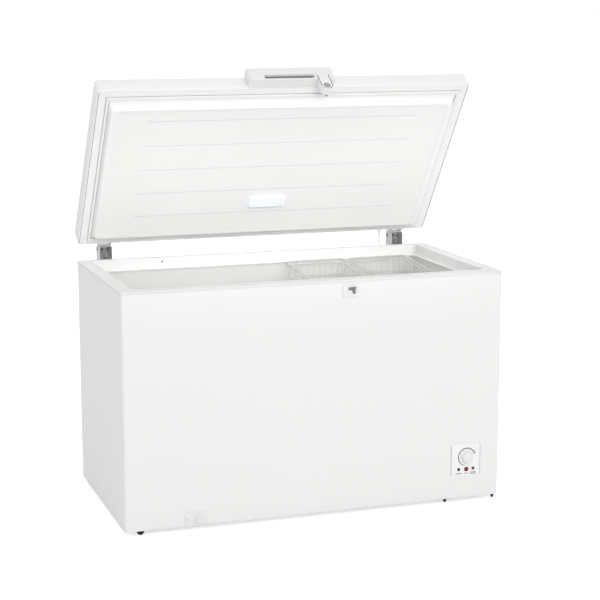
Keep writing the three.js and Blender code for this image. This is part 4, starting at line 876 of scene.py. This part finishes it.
class FREEZER_OT_lid(bpy.types.Operator):
    """Makes the lid's enamelled skin, its formed lining, the ribs and the gasket"""
    bl_idname = "freezer.lid"
    bl_label = "Lid"

    def execute(self, context):
        sizes = context.scene.freezer_lid
        low, high = shut_box("lid_skin")
        self.pressed_skin(low, high, sizes)
        self.lining(low, high)
        self.ribs(low, high, sizes)
        self.gasket(low, high)
        self.foam(low, high)
        return {"FINISHED"}

    def pressed_skin(self, low, high, sizes):
        """The pressed sheet, rolled under at its lower edge."""
        edge, fold, corner = sizes.edge / MM, sizes.fold / MM, sizes.corner / MM
        tall, sheet = (high.z - low.z) / MM, 0.8

        def ring(inset, rise):
            return loop(low, high, (inset, inset, inset), low.z + rise * MM, corner - inset)

        def shell(thinner):
            """Loops from the rolled lower edge up over the top edge, `thinner` inside the skin."""
            low_roll, high_roll = fold - thinner, edge - thinner
            rows = [ring(fold + 0.3, thinner)]
            rows += [ring(fold - low_roll * math.sin(a), fold - low_roll * math.cos(a))
                     for a in QUARTER]
            rows += [ring(edge - high_roll * math.cos(a), tall - edge + high_roll * math.sin(a))
                     for a in QUARTER]
            return rows

        outside, inside = shell(0.0), shell(sheet)
        points, faces = skin(outside + inside[::-1], ring=True)
        # Two flat sheets take the place of the faces between the outer and the inner top edge.
        count = len(outside[0])
        top = (len(outside) - 1) * count
        faces = faces[:top] + faces[top + count:]
        faces += [tuple(start + i for i in range(count)) for start in (top, top + count)]
        opened("lid_pressed_skin", (points, faces), 50, "enamel", "white_enamel", "lid_skin")

    def lining(self, low, high):
        """The formed lining: rim, gasket groove, shoulder, draft, border and sunk field."""
        section = [  # inset at the side, front and rear, drop below the rim, corner, wall's side
            (7.8, 6.6, 6.6, 0, 5, 0), (31.2, 26.2, 10.2, 0, 8, -1), (32, 27, 11, -0.8, 8, -1),
            (32, 27, 11, -5, 8, -1), (45, 43.6, 29.6, -5, 6, 1), (45, 43.6, 29.6, 0.2, 6, 1),
            (45.8, 44.4, 30.4, 1, 6, 1), (47, 56, 34, 1, 12, 1), (48, 59.5, 36, 2, 14, 1),
            (48.6, 61, 36.8, 5, 15, 1), (50, 65.6, 40, 16, 18, 1), (50.8, 66.8, 41, 18.4, 19, 1),
            (53.5, 68.8, 43.6, 20, 20, 1), (66, 72, 46, 20, 22, -1),
            (67.5, 72.8, 50, 19.7, 22, -1), (75, 76, 96, 17.3, 22, -1),
            (77, 77.6, 110, 17, 22, -1)]
        wall = 1.5

        def level(depth):
            return [loop(low, high, [inset + way * depth for inset in (side, front, rear)],
                         low.z - (drop - depth) * MM, corner - way * depth)
                    for side, front, rear, drop, corner, way in section]

        piece = new_piece("lid_formed_lining", *skin(level(wall)[::-1] + level(0)), smooth=42)
        self.window(piece)
        finished(moved(piece, AS_OPENED), "lid", "lining", "white_lining", "lid_pan")

        # A grey strip between the lining and the rolled steel, wider at the sides: painted shade of
        # the gap there.
        ring = [loop(low, high, (side, end, end), low.z + rise * MM, 12 - side)
                for side, end, rise in ((6.3, 6.3, 0.3), (7.9, 6.5, 0.3), (7.9, 6.5, 1.4),
                                        (6.3, 6.3, 1.4))]
        opened("lid_edging", skin(ring, ring=True), 35, "edging", "gasket_vinyl")

    def window(self, piece):
        """Cuts the lamp's window through the lining's field."""
        low, high = shut_box("lamp_housing")
        gap, below = 0.4 * MM, 8 * MM
        cutter = joined("window_cutter", [block((low.x - gap, low.y - gap, low.z - below),
                                                (high.x + gap, high.y + gap, high.z))])
        trim = piece.modifiers.new("Window", "BOOLEAN")
        trim.operation, trim.object, trim.solver = "DIFFERENCE", cutter, "EXACT"
        settled(piece)
        bpy.data.objects.remove(cutter)
        soften(piece, 42)

    def ribs(self, low, high, sizes):
        """Five long ribs in the field, each a low bead that fades out at its ends, coloured a shade
        greyer as painted shade.
        """
        field = low.z - 17 * MM
        half_long, half_wide, lift = 482 * MM, sizes.rib_width / 2, sizes.rib_height
        columns = [-half_long, -half_long + 14 * MM, -half_long + 40 * MM]
        columns += [half_long * t / 6 for t in range(-5, 6)]
        columns += [-c for c in reversed(columns[:3])]
        rows = []
        for c, x in enumerate(columns):
            full = (0.0, 0.6, 1.0)[min(c, len(columns) - 1 - c, 2)]
            rows.append([(x, a * half_wide, field + 0.1 * MM - lift * (1 - a * a) ** 1.5 * full)
                         for a in (-1, -0.6, -0.25, 0.25, 0.6, 1)])
            rows[-1] += [(x, a * half_wide, field + 0.6 * MM) for a in (1, -1)]
        rib = new_piece("lid_lining_ribs", *skin(rows), smooth=60)
        moved(rib, Matrix.Translation((0, high.y - 140 * MM, 0)))
        run_tree(rib, repeat_tree(), {
            "Count": 5, "Step": (0.0, -104.5 * MM, 0.0), "Material": MATERIALS["rib_painted_shade"]})
        moved(rib, AS_OPENED)
        soften(rib, 60)
        finished(rib, "lid", "rib_painted_shade", "white_lining")

    def gasket(self, low, high):
        """A soft tube with a rounded crown, its foot pushed into the lining's groove."""
        rows = [loop(low, high, insets, low.z - drop * MM, 7) for *insets, drop in (
            (35, 30, 14, -4.6), (35, 30, 14, -1), (33.8, 28.8, 12.8, 0), (33.2, 28.2, 12.2, 1.4),
            (33.6, 28.6, 12.6, 2.6), (34.6, 30, 14, 3.4), (36, 32, 16, 3.7),
            (39, 38, 24, 3.7), (41, 40.6, 26.6, 3.4), (42.2, 42.6, 28.4, 2.6),
            (42.6, 43.2, 29, 1.4), (42, 42.4, 28.2, 0), (40.6, 41, 27, -1),
            (40.6, 41, 27, -4.6))]
        opened("lid_magnetic_gasket", skin(rows, ring=True), 50, "gasket", "gasket_vinyl",
               "lid_gasket")

    def foam(self, low, high):
        """The blown foam, kept clear of the lining's bends and of the skin's rolled edge."""
        piece = from_node("lid_foam", "lid_blown_foam", 0)
        clear, reach, lift = 7 * MM, 20 * MM, 2.5 * MM
        for vertex in piece.data.vertices:
            at = AS_SHUT @ vertex.co
            if at.z < low.z + reach:
                at.z += lift
                at.x = min(max(at.x, low.x + clear), high.x - clear)
                at.y = min(max(at.y, low.y + clear), high.y - clear)
            vertex.co = AS_OPENED @ at
        piece.data.update()
        finished(piece, "lid", "foam", "polyurethane_foam", "lid_foam")


class FREEZER_OT_lamp(bpy.types.Operator):
    """Makes the lid's lamp: tub and ribbed lens"""
    bl_idname = "freezer.lamp"
    bl_label = "Lid lamp"

    def execute(self, context):
        dress("lid", "plastic", "white_plastic", ("lamp_housing", "lamp_tub", 0.4))
        low, high = shut_box("lamp_lens")
        rows = [loop(low, high, (i, i, i), low.z + rise * MM, 10 - i / 2) for i, rise in (
            (0, (high.z - low.z) / MM), (0, 3.5), (0.5, 1.8), (1.6, 0.7), (4, 0.3), (7, 0.3))]
        opened("lamp_moulded_lens", skin(rows), 50, "lamp", "lamp_lens", "lamp_lens")

        # Light-spreading flutes across the lens.
        long = (high.y - low.y) / MM - 22
        span, pitch = high.x - low.x - 28 * MM, 6 * MM
        flute = turned("lamp_flutes", [(0, 0), (1.5, 0.2), (1.8, 2), (1.8, long - 2),
                                       (1.5, long - 0.2), (0, long)],
                       low + Vector((14, 11, 1.7)) * MM, ALONG_Y, 12)
        count = int(span / pitch) + 1
        run_tree(flute, repeat_tree(), {
            "Count": count, "Step": (span / (count - 1), 0.0, 0.0),
            "Material": MATERIALS["lamp"]})
        soften(flute, 50)
        finished(moved(flute, AS_OPENED), "lid", "lamp", "lamp_lens")
        return {"FINISHED"}


class FREEZER_OT_handle(bpy.types.Operator):
    """Makes the handle, the lock's housing and barrel, and the strike"""
    bl_idname = "freezer.handle"
    bl_label = "Handle and lock"

    def execute(self, context):
        dress("lid", "plastic", "white_plastic", ("lid_handle", "moulded_handle", 1.4, 3),
              ("lock_housing", "lock_case", 1.8, 3, 25))
        self.groove()
        self.escutcheon()
        dress("lock_barrel", "nickel", "dark_steel", ("lock_barrel", "lock_cylinder", 0.4))
        dress("cabinet", "plastic", "white_plastic",
              ("strike_plate", "strike_moulding", 0.9, 3))
        dress("cabinet", "dark_steel", "dark_steel", ("strike_hook", "strike_steel", 0.4))
        return {"FINISHED"}

    def groove(self):
        """A dark strip in a U round the lock's front: painted shade of the groove there."""
        low, high = shut_box("lock_housing")
        middle, half, arm = (low.x + high.x) / 2, (high.x - low.x) / 2, low.z + 74 * MM
        outline = []
        for inset in (1.8 * MM, 4.4 * MM):
            reach = half - inset
            bend = [(middle + reach * math.cos(a), low.z + half + reach * math.sin(a))
                    for a in (math.radians(180 + 12 * k) for k in range(16))]
            line = [(middle - reach, arm), *bend, (middle + reach, arm)]
            outline += line if not outline else line[::-1]
        points, faces = prism(outline, low.y - 0.1 * MM, low.y + 0.8 * MM)
        # Strips across the U take the place of its two flat ends.
        count = len(outline)
        faces = faces[2:]
        for i in range(count // 2 - 1):
            across = (i, i + 1, count - 2 - i, count - 1 - i)
            faces += [across, tuple(count + k for k in across)]
        opened("lock_face_groove", (points, faces), 35, "edging", "black_plastic")

    def escutcheon(self):
        """A dark ring about the lock's barrel."""
        low, high = shut_box("lock_barrel")
        half = (high.x - low.x) / 2
        face = shut_box("lock_housing")[0].y - 0.4 * MM
        profile = [(half / MM + out, back) for out, back in (
            (0.4, 1.2), (0.4, 0.2), (0.8, 0), (2.6, 0.1), (3.2, 0.6), (3.2, 1.2), (0.4, 1.2))]
        ring = turned("lock_escutcheon", profile,
                      ((low.x + high.x) / 2, face, high.z - half), ALONG_Y, 40)
        finished(moved(ring, AS_OPENED), "lid", "edging", "black_plastic")


class FREEZER_OT_hinges(bpy.types.Operator):
    """Makes the two sprung hinges"""
    bl_idname = "freezer.hinges"
    bl_label = "Hinges"

    def execute(self, context):
        coil = spring_tree()
        for side in ("left", "right"):
            dress("cabinet", "zinc", "galvanised_hinge",
                  ("hinge_bracket_" + side, "hinge_case_" + side))
            dress("lid", "zinc", "galvanised_hinge",
                  ("hinge_leaf_" + side, "hinge_arm_" + side, 0.4))
            self.pin("hinge_pin_" + side, "hinge_rivet_" + side)
            dress("plunger_" + side, "nickel", "black_plastic",
                  ("hinge_plunger_" + side, "hinge_ram_" + side))
            self.spring(side, coil)
        return {"FINISHED"}

    def pin(self, node, name):
        low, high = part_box(node)
        long, head, shank = (high.x - low.x) / MM, (high.z - low.z) / 2 / MM, 4
        profile = [(0, 0), (head - 1.2, 0), (head, 0.9), (head, 1.7), (shank, 1.7)]
        profile += [(radius, long - at) for radius, at in reversed(profile)]
        pin = turned(name, profile, (low.x, PIVOT.y, PIVOT.z), ALONG_X, 32)
        finished(pin, "cabinet", "dark_steel", "dark_steel", node)

    def spring(self, side, coil):
        low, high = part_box("hinge_spring_" + side)
        x, y, _ = centre(low, high)
        wire, hold = 1.1 * MM, 2 * MM
        spring = new_piece("hinge_coil_" + side, [(0, 0, 0)], [])
        run_tree(spring, coil, {
            "Radius": (high.x - low.x) / 2 - wire, "Height": high.z - low.z - 2 * wire,
            "Turns": 9.0, "Wire": wire, "Material": MATERIALS["spring"]})
        moved(spring, Matrix.Translation((x, y, low.z + wire)))
        painted(spring, "spring")
        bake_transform(spring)
        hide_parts("hinge_spring_" + side)


class FREEZER_OT_baskets(bpy.types.Operator):
    """Makes the two hanging baskets from bent and welded wire"""
    bl_idname = "freezer.baskets"
    bl_label = "Baskets"

    def execute(self, context):
        tree = basket_tree()
        for node in ("basket_left", "basket_right"):
            self.basket(node, context.scene.freezer_basket, tree)
        return {"FINISHED"}

    def basket(self, node, sizes, tree):
        low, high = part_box(node)
        wire, rim = sizes.wire, sizes.rim
        hook_reach, margin, run, fine = 10.4 * MM, 15 * MM, 60 * MM, 12 * MM
        left, right = low.x + rim / 2, high.x - rim / 2
        front, rear = low.y + hook_reach + rim / 2, high.y - hook_reach - rim / 2
        top, floor = high.z - rim / 2, low.z + wire / 2
        middle, half = (left + right) / 2, (right - left) / 2
        middle_y = (front + rear) / 2
        cross_span = rear - front - 2 * margin
        crosses = max(2, round(cross_span / sizes.pitch))
        long_step = (right - left - 2 * margin) / (sizes.long_wires - 1)
        hoop_step = (top - floor) / (sizes.hoops + 1)
        points, edges, kinds = [], [], []

        def wire_line(kind, corners, bend, longest, closed=False):
            line = split_long(bent_line(corners, bend, closed), longest, closed)
            start, count = len(points), len(line)
            points.extend(line)
            kinds.extend([kind] * count)
            edges.extend((start + i, start + i + 1) for i in range(count - 1))
            if closed:
                edges.append((start + count - 1, start))

        def frame_line(kind, inset, z, longest):
            a, b, c, d = left + inset, right - inset, front + inset, rear - inset
            wire_line(kind, [(a, c, z), (b, c, z), (b, d, z), (a, d, z)], 14 * MM, longest, True)

        x, y, sill = left + margin, front + margin, floor + wire
        wire_line(1, [(left, y, top), (left, y, floor), (right, y, floor), (right, y, top)],
                  sizes.bend, run)
        wire_line(2, [(x, front, top), (x, front, sill), (x, rear, sill), (x, rear, top)],
                  sizes.bend, run)
        frame_line(3, wire, floor + hoop_step * 0.9, 24 * MM)
        frame_line(0, 0, top, fine)
        # A second wire runs just under the rim, and each long side has a grip's loop in it.
        under = top - 13 * MM
        frame_line(0, 0, under, fine)
        start, end, dip = rear - 186 * MM, rear - 44 * MM, under - 34 * MM
        for x in (left, right):
            wire_line(0, [(x, start, top - 4 * MM), (x, start, dip), (x, end, dip),
                          (x, end, under)], 11 * MM, fine)
        # A hook at each end, bent from the rim wire, lies on the collar's ledge.
        wide, tight = half - 16 * MM, half - 22 * MM
        for y, tip in ((front, low.y + rim / 2), (rear, high.y - rim / 2)):
            wire_line(0, [(middle - wide, y, top), (middle - tight, tip, top),
                          (middle + tight, tip, top), (middle + wide, y, top)], 6 * MM, fine)
        piece = net(node + "_wires", points, edges, "kind", "INT", "value", kinds)
        run_tree(piece, tree, {
            "Cross Count": crosses + 1, "Cross Step": (0.0, cross_span / crosses, 0.0),
            "Long Count": sizes.long_wires, "Long Step": (long_step, 0.0, 0.0),
            "Hoop Count": sizes.hoops, "Hoop Step": (0.0, 0.0, hoop_step),
            "Middle": (middle, middle_y, 0.0), "Floor": floor, "Depth": top - floor,
            "Taper": (sizes.taper / half, sizes.taper / (rear - middle_y), 0.0),
            "Dip": sizes.dip, "Dip From": 12 * MM, "Dip To": sizes.dip_half,
            "Wire": wire, "Rim": rim, "Material": MATERIALS["wire"]})
        finished(piece, node, "wire", "coated_wire", node)


# ---- Controls, drain, bay and fasteners ----


class FREEZER_OT_controls(bpy.types.Operator):
    """Makes the control panel, its print, the pilot lenses and the knob"""
    bl_idname = "freezer.controls"
    bl_label = "Controls"

    def execute(self, context):
        dress("cabinet", "panel", "white_plastic",
              ("control_panel", "panel_moulding", 0.8, 3, 30))
        low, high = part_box("control_panel")
        # Two thin strips at the panel's sides are painted shade: the pale one on the left and the
        # dark grey one on the right stand for the shade lines along its edges.
        for name, material, start, end in (
                ("panel_seal_left", "edge_shade", low.x - 2.2 * MM, low.x + 0.5 * MM),
                ("panel_seal_right", "edging", high.x - 0.5 * MM, high.x + 1.4 * MM)):
            edge_shade = new_piece(name, *block((start, high.y - 1.4 * MM, low.z + 7 * MM),
                                          (end, high.y + 0.1 * MM, high.z - 7 * MM)))
            finished(edge_shade, "cabinet", material, "black_plastic")
        self.lens("power_lens", "pilot_power", "power", "green_lens")
        self.lens("alarm_lens", "pilot_alarm", "alarm", "red_lens")
        self.lens("fast_freeze_lens", "pilot_fast_freeze", "fast", "olive_lens")
        dress("cabinet", "black_plastic", "black_plastic",
              ("thermostat_body", "thermostat_case", 1.2))
        knob_low, knob_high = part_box("thermostat_knob")
        hub = centre(knob_low, knob_high)
        hub.y = low.y
        self.knob(hub, (knob_high.x - knob_low.x) / 2 / MM, (low.y - knob_low.y) / MM)
        self.dial(hub, context.scene.freezer_panel)
        return {"FINISHED"}

    def lens(self, node, name, material, slot):
        low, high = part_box(node)
        spot = centre(low, high)
        radius = (high.x - low.x) / 2 / MM
        lens = turned(name, [(0, 0), (radius * 0.6, 0.1), (radius - 0.8, 0.4),
                             (radius - 0.2, 0.8), (radius, 1.3), (radius, 8), (0, 8)],
                      (spot.x, low.y, spot.z), ALONG_Y, 32)
        finished(lens, "cabinet", material, slot, node)

    def knob(self, hub, radius, tall):
        """The stepped knob and the pointer line on its cap."""
        profile = [(0, -2.4), (3, -2.4), (3, 0.4), (radius - 0.4, 0.4), (radius, 0.9),
                   (radius, 2.2), (radius - 0.5, 2.9), (radius - 2.6, 3.6), (radius - 3.4, 4.6),
                   (radius - 4.2, tall - 1.9), (radius - 4.8, tall - 0.8),
                   (radius - 6.2, tall - 0.1), (0, tall - 0.1)]
        knob = turned("knob_cap", profile, hub, (0, -1, 0), 64, 40)
        finished(knob, "thermostat_knob", "plastic", "white_plastic", "thermostat_knob")
        front, half = hub.y - tall * MM, 0.7 * MM
        mark = joined("knob_pointer", [block(
            (hub.x - half, front, hub.z + 5 * MM),
            (hub.x + half, front + 0.3 * MM, hub.z + (radius - 7) * MM))])
        finished(mark, "thermostat_knob", "gasket", "white_plastic")

    def dial(self, hub, sizes):
        """The temperature arc, which swells towards cold, its ticks, and dashes by the lenses."""
        first, sweep, steps, ticks = 258, 240, 48, 8
        thin, growth, full = 0.16, 1.6, 0.5  # the arc's half width, as shares of its line
        front, back = hub.y - 0.12 * MM, hub.y + 0.1 * MM

        def spot(angle, out, aside=0.0):
            return (hub.x + out * math.cos(angle) - aside * math.sin(angle),
                    hub.z + out * math.sin(angle) + aside * math.cos(angle))

        def dash(x, z, start, end, tall):
            """A dash of the print, in mm from the point x, z."""
            return prism([(x + u * MM, z + v * MM) for u, v in (
                (start, 0), (end, 0), (end, tall), (start, tall))], front, back)

        rows = []
        for i in range(steps + 1):
            t = i / steps
            angle = math.radians(first - sweep * t)
            half = sizes.arc_line * min(full, thin + growth * t)
            (a, b), (c, d) = (spot(angle, sizes.arc_radius + way * half) for way in (1, -1))
            rows.append([(a, front, b), (c, front, d), (c, back, d), (a, back, b)])
        finished(new_piece("printed_arc", *skin(rows)), "cabinet", "ink", "black_plastic")

        marks, labels = [], []
        for k in range(ticks):
            angle = math.radians(first - sweep * (k + 0.5) / ticks)
            marks.append(prism([spot(angle, out * MM, aside * MM) for out, aside in (
                (24.6, -0.35), (28.4, -0.35), (28.4, 0.35), (24.6, 0.35))], front, back))
        for node, drops, half, words in (("power_lens", (16.2,), 10.5, marks),
                                         ("alarm_lens", (15.8,), 7.0, labels),
                                         ("fast_freeze_lens", (14.6, 19.4), 10.0, marks)):
            lens = centre(*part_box(node))
            words += [dash(lens.x, lens.z - drop * MM, start * half, end * half, 2.8)
                      for drop in drops for start, end in ((-1, -0.42), (-0.32, 0.3), (0.4, 1))]
        marks += [dash(hub.x, hub.z + rise * MM, 27.5, 31.7, 2.4) for rise in (19.5, 12.0)]
        finished(joined("printed_marks", marks), "cabinet", "pale_ink", "black_plastic")
        finished(joined("printed_alarm_label", labels), "cabinet", "red_ink", "red_lens")


class FREEZER_OT_drain(bpy.types.Operator):
    """Makes the drain's outlet plate, cap, tube and plug"""
    bl_idname = "freezer.drain"
    bl_label = "Drain"

    def execute(self, context):
        dress("cabinet", "plastic", "white_plastic",
              ("drain_outlet_plate", "drain_moulding", 0.7, 3), ("drain_tube", "drain_pipe", 0))
        low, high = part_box("drain_cap")
        spot, radius = centre(low, high), (high.x - low.x) / 2 / MM
        cap = turned("drain_screw_cap", [
            (0, 3.0), (4.2, 3.0), (4.6, 0.8), (radius - 4.2, 0.8), (radius - 3.6, 0.2),
            (radius - 1.4, 0), (radius - 0.4, 0.5), (radius, 1.4), (radius, 6), (6.4, 6),
            (6.4, 18), (0, 18)], (spot.x, low.y, spot.z), ALONG_Y, 40)
        finished(cap, "drain_cap", "plastic", "white_plastic", "drain_cap")
        low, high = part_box("drain_plug")
        spot, tall = centre(low, high), (high.z - low.z) / MM
        plug = turned("drain_stopper", [
            (0, 0), (5.4, 0), (5.9, 0.6), (6.4, 13.6), (14.2, 14), (15, 14.6), (15, 16.4),
            (14.4, 17), (12, 19), (5, 20.2), (3.9, 21.2), (3.8, tall - 2.4), (3.2, tall - 0.8),
            (1.8, tall), (0, tall)], (spot.x, spot.y, low.z), ALONG_Z, 40)
        finished(plug, "drain_plug", "plastic", "white_plastic", "drain_plug")
        return {"FINISHED"}


class FREEZER_OT_bay(bpy.types.Operator):
    """Makes the ventilated covers, the compressor and its pipes"""
    bl_idname = "freezer.bay"
    bl_label = "Compressor bay"

    def execute(self, context):
        dress("cabinet", "plastic", "white_plastic",
              ("side_grille", "side_cover", 0.3), ("rear_grille", "rear_cover", 0.3))
        dress("cabinet", "rubber", "black_rubber", ("mains_gland", "mains_bush"))
        dress("cabinet", "black_enamel", "black_enamel", ("compressor", "compressor_shell", 0.8))
        dress("cabinet", "black_plastic", "black_plastic",
              ("compressor_relay_cover", "relay_box", 2.0, 3))
        dress("cabinet", "copper", "copper_tube", ("filter_drier", "drier", 0),
              ("condenser_coil", "condenser_pipe", 0, 0, 70),
              ("evaporator_coil", "evaporator_pipe", 0, 0, 70))
        dress("cabinet", "rubber", "black_rubber", *(
            ("compressor_grommet_%d" % k, "rubber_mount_%d" % k, 1.2, 3) for k in range(1, 5)))
        return {"FINISHED"}


class FREEZER_OT_lead(bpy.types.Operator):
    """Makes the lead of the lid's lamp"""
    bl_idname = "freezer.lead"
    bl_label = "Lamp lead"

    def execute(self, context):
        piece = painted(from_node("lamp_lead", "lamp_lead_sleeve", 0, smooth=70), "plastic")
        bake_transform(piece)
        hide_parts("lamp_lead")
        return {"FINISHED"}


class FREEZER_OT_fasteners(bpy.types.Operator):
    """Sets cross-recess screws in the hinges, the covers and the drain plate"""
    bl_idname = "freezer.fasteners"
    bl_label = "Fasteners"

    def execute(self, context):
        tree = spots_tree()
        spots = []  # place and outward vector
        for node in ("hinge_bracket_left", "hinge_bracket_right"):
            low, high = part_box(node)
            spots += [((x, low.y + 1.5 * MM, low.z + rise * MM), ALONG_Y)
                      for x in (low.x + 6 * MM, high.x - 6 * MM) for rise in (18, 74, 130)]
        low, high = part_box("rear_grille")
        spots += [((x, high.y, z), ALONG_Y)
                  for x in (low.x + 10 * MM, (low.x + high.x) / 2, high.x - 10 * MM)
                  for z in (low.z + 9 * MM, high.z - 9 * MM)]
        low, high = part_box("side_grille")
        spots += [((high.x - 1.45 * MM, y, z), ALONG_X)
                  for y in (low.y + 8 * MM, high.y - 8 * MM)
                  for z in (low.z + 8 * MM, high.z - 8 * MM)]
        self.screws("cover_screws", "galvanised_sheet", 3.4, spots, tree)
        low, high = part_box("drain_outlet_plate")
        spot = (low.x + 7.4 * MM, low.y, (low.z + high.z) / 2 - 1.4 * MM)
        self.screws("drain_screw", "dark_steel", 2.6, [(spot, (0, -1, 0))], tree)
        return {"FINISHED"}

    def screws(self, name, slot, radius, spots, tree):
        head = turned("screw_head", [
            (0, -1.0), (radius * 0.5, -1.0), (radius * 0.5, -0.2), (radius, 0), (radius, 0.5),
            (radius * 0.86, 1.0), (radius * 0.5, 1.35), (radius * 0.22, 1.45),
            (radius * 0.18, 0.5), (0, 0.4)], (0, 0, 0), ALONG_Z, 20)
        piece = net(name, [place for place, _ in spots], [], "outward", "FLOAT_VECTOR",
                    "vector", [part for _, way in spots for part in way])
        run_tree(piece, tree, {"Fastener": head, "Material": MATERIALS["zinc"]})
        bpy.data.objects.remove(head)
        soften(piece, 40)
        finished(piece, "cabinet", "zinc", slot)


class FREEZER_PT_panel(bpy.types.Panel):
    """Lists the freezer's sizes, colours and pieces"""
    bl_idname = "FREEZER_PT_panel"
    bl_label = "Chest freezer"
    bl_space_type = "VIEW_3D"
    bl_region_type = "UI"
    bl_category = "Freezer"

    def draw(self, context):
        for name in GROUPS:
            group, box = getattr(context.scene, name), self.layout.box()
            for prop in group.bl_rna.properties:
                if prop.identifier not in ("rna_type", "name"):
                    box.prop(group, prop.identifier)
        for operator in OPERATORS:
            self.layout.operator(operator.bl_idname)


GROUPS = {
    "freezer_colours": FreezerColours, "freezer_basket": BasketSizes,
    "freezer_collar": CollarSizes, "freezer_lid": LidSizes, "freezer_panel": PanelSizes,
}
OPERATORS = (
    FREEZER_OT_stage, FREEZER_OT_materials, FREEZER_OT_cabinet, FREEZER_OT_well,
    FREEZER_OT_collar, FREEZER_OT_lid, FREEZER_OT_lamp, FREEZER_OT_handle, FREEZER_OT_hinges,
    FREEZER_OT_baskets, FREEZER_OT_controls, FREEZER_OT_drain, FREEZER_OT_bay,
    FREEZER_OT_lead, FREEZER_OT_fasteners,
)


def register():
    for cls in (*GROUPS.values(), *OPERATORS, FREEZER_PT_panel):
        bpy.utils.register_class(cls)
    for name, cls in GROUPS.items():
        setattr(bpy.types.Scene, name, bpy.props.PointerProperty(type=cls))


def unregister():
    for name in GROUPS:
        delattr(bpy.types.Scene, name)
    for cls in (FREEZER_PT_panel, *reversed(OPERATORS), *GROUPS.values()):
        bpy.utils.unregister_class(cls)


def main():
    register()
    for operator in OPERATORS:
        group, name = operator.bl_idname.split(".")
        getattr(getattr(bpy.ops, group), name)()


if __name__ == "__main__":
    main()
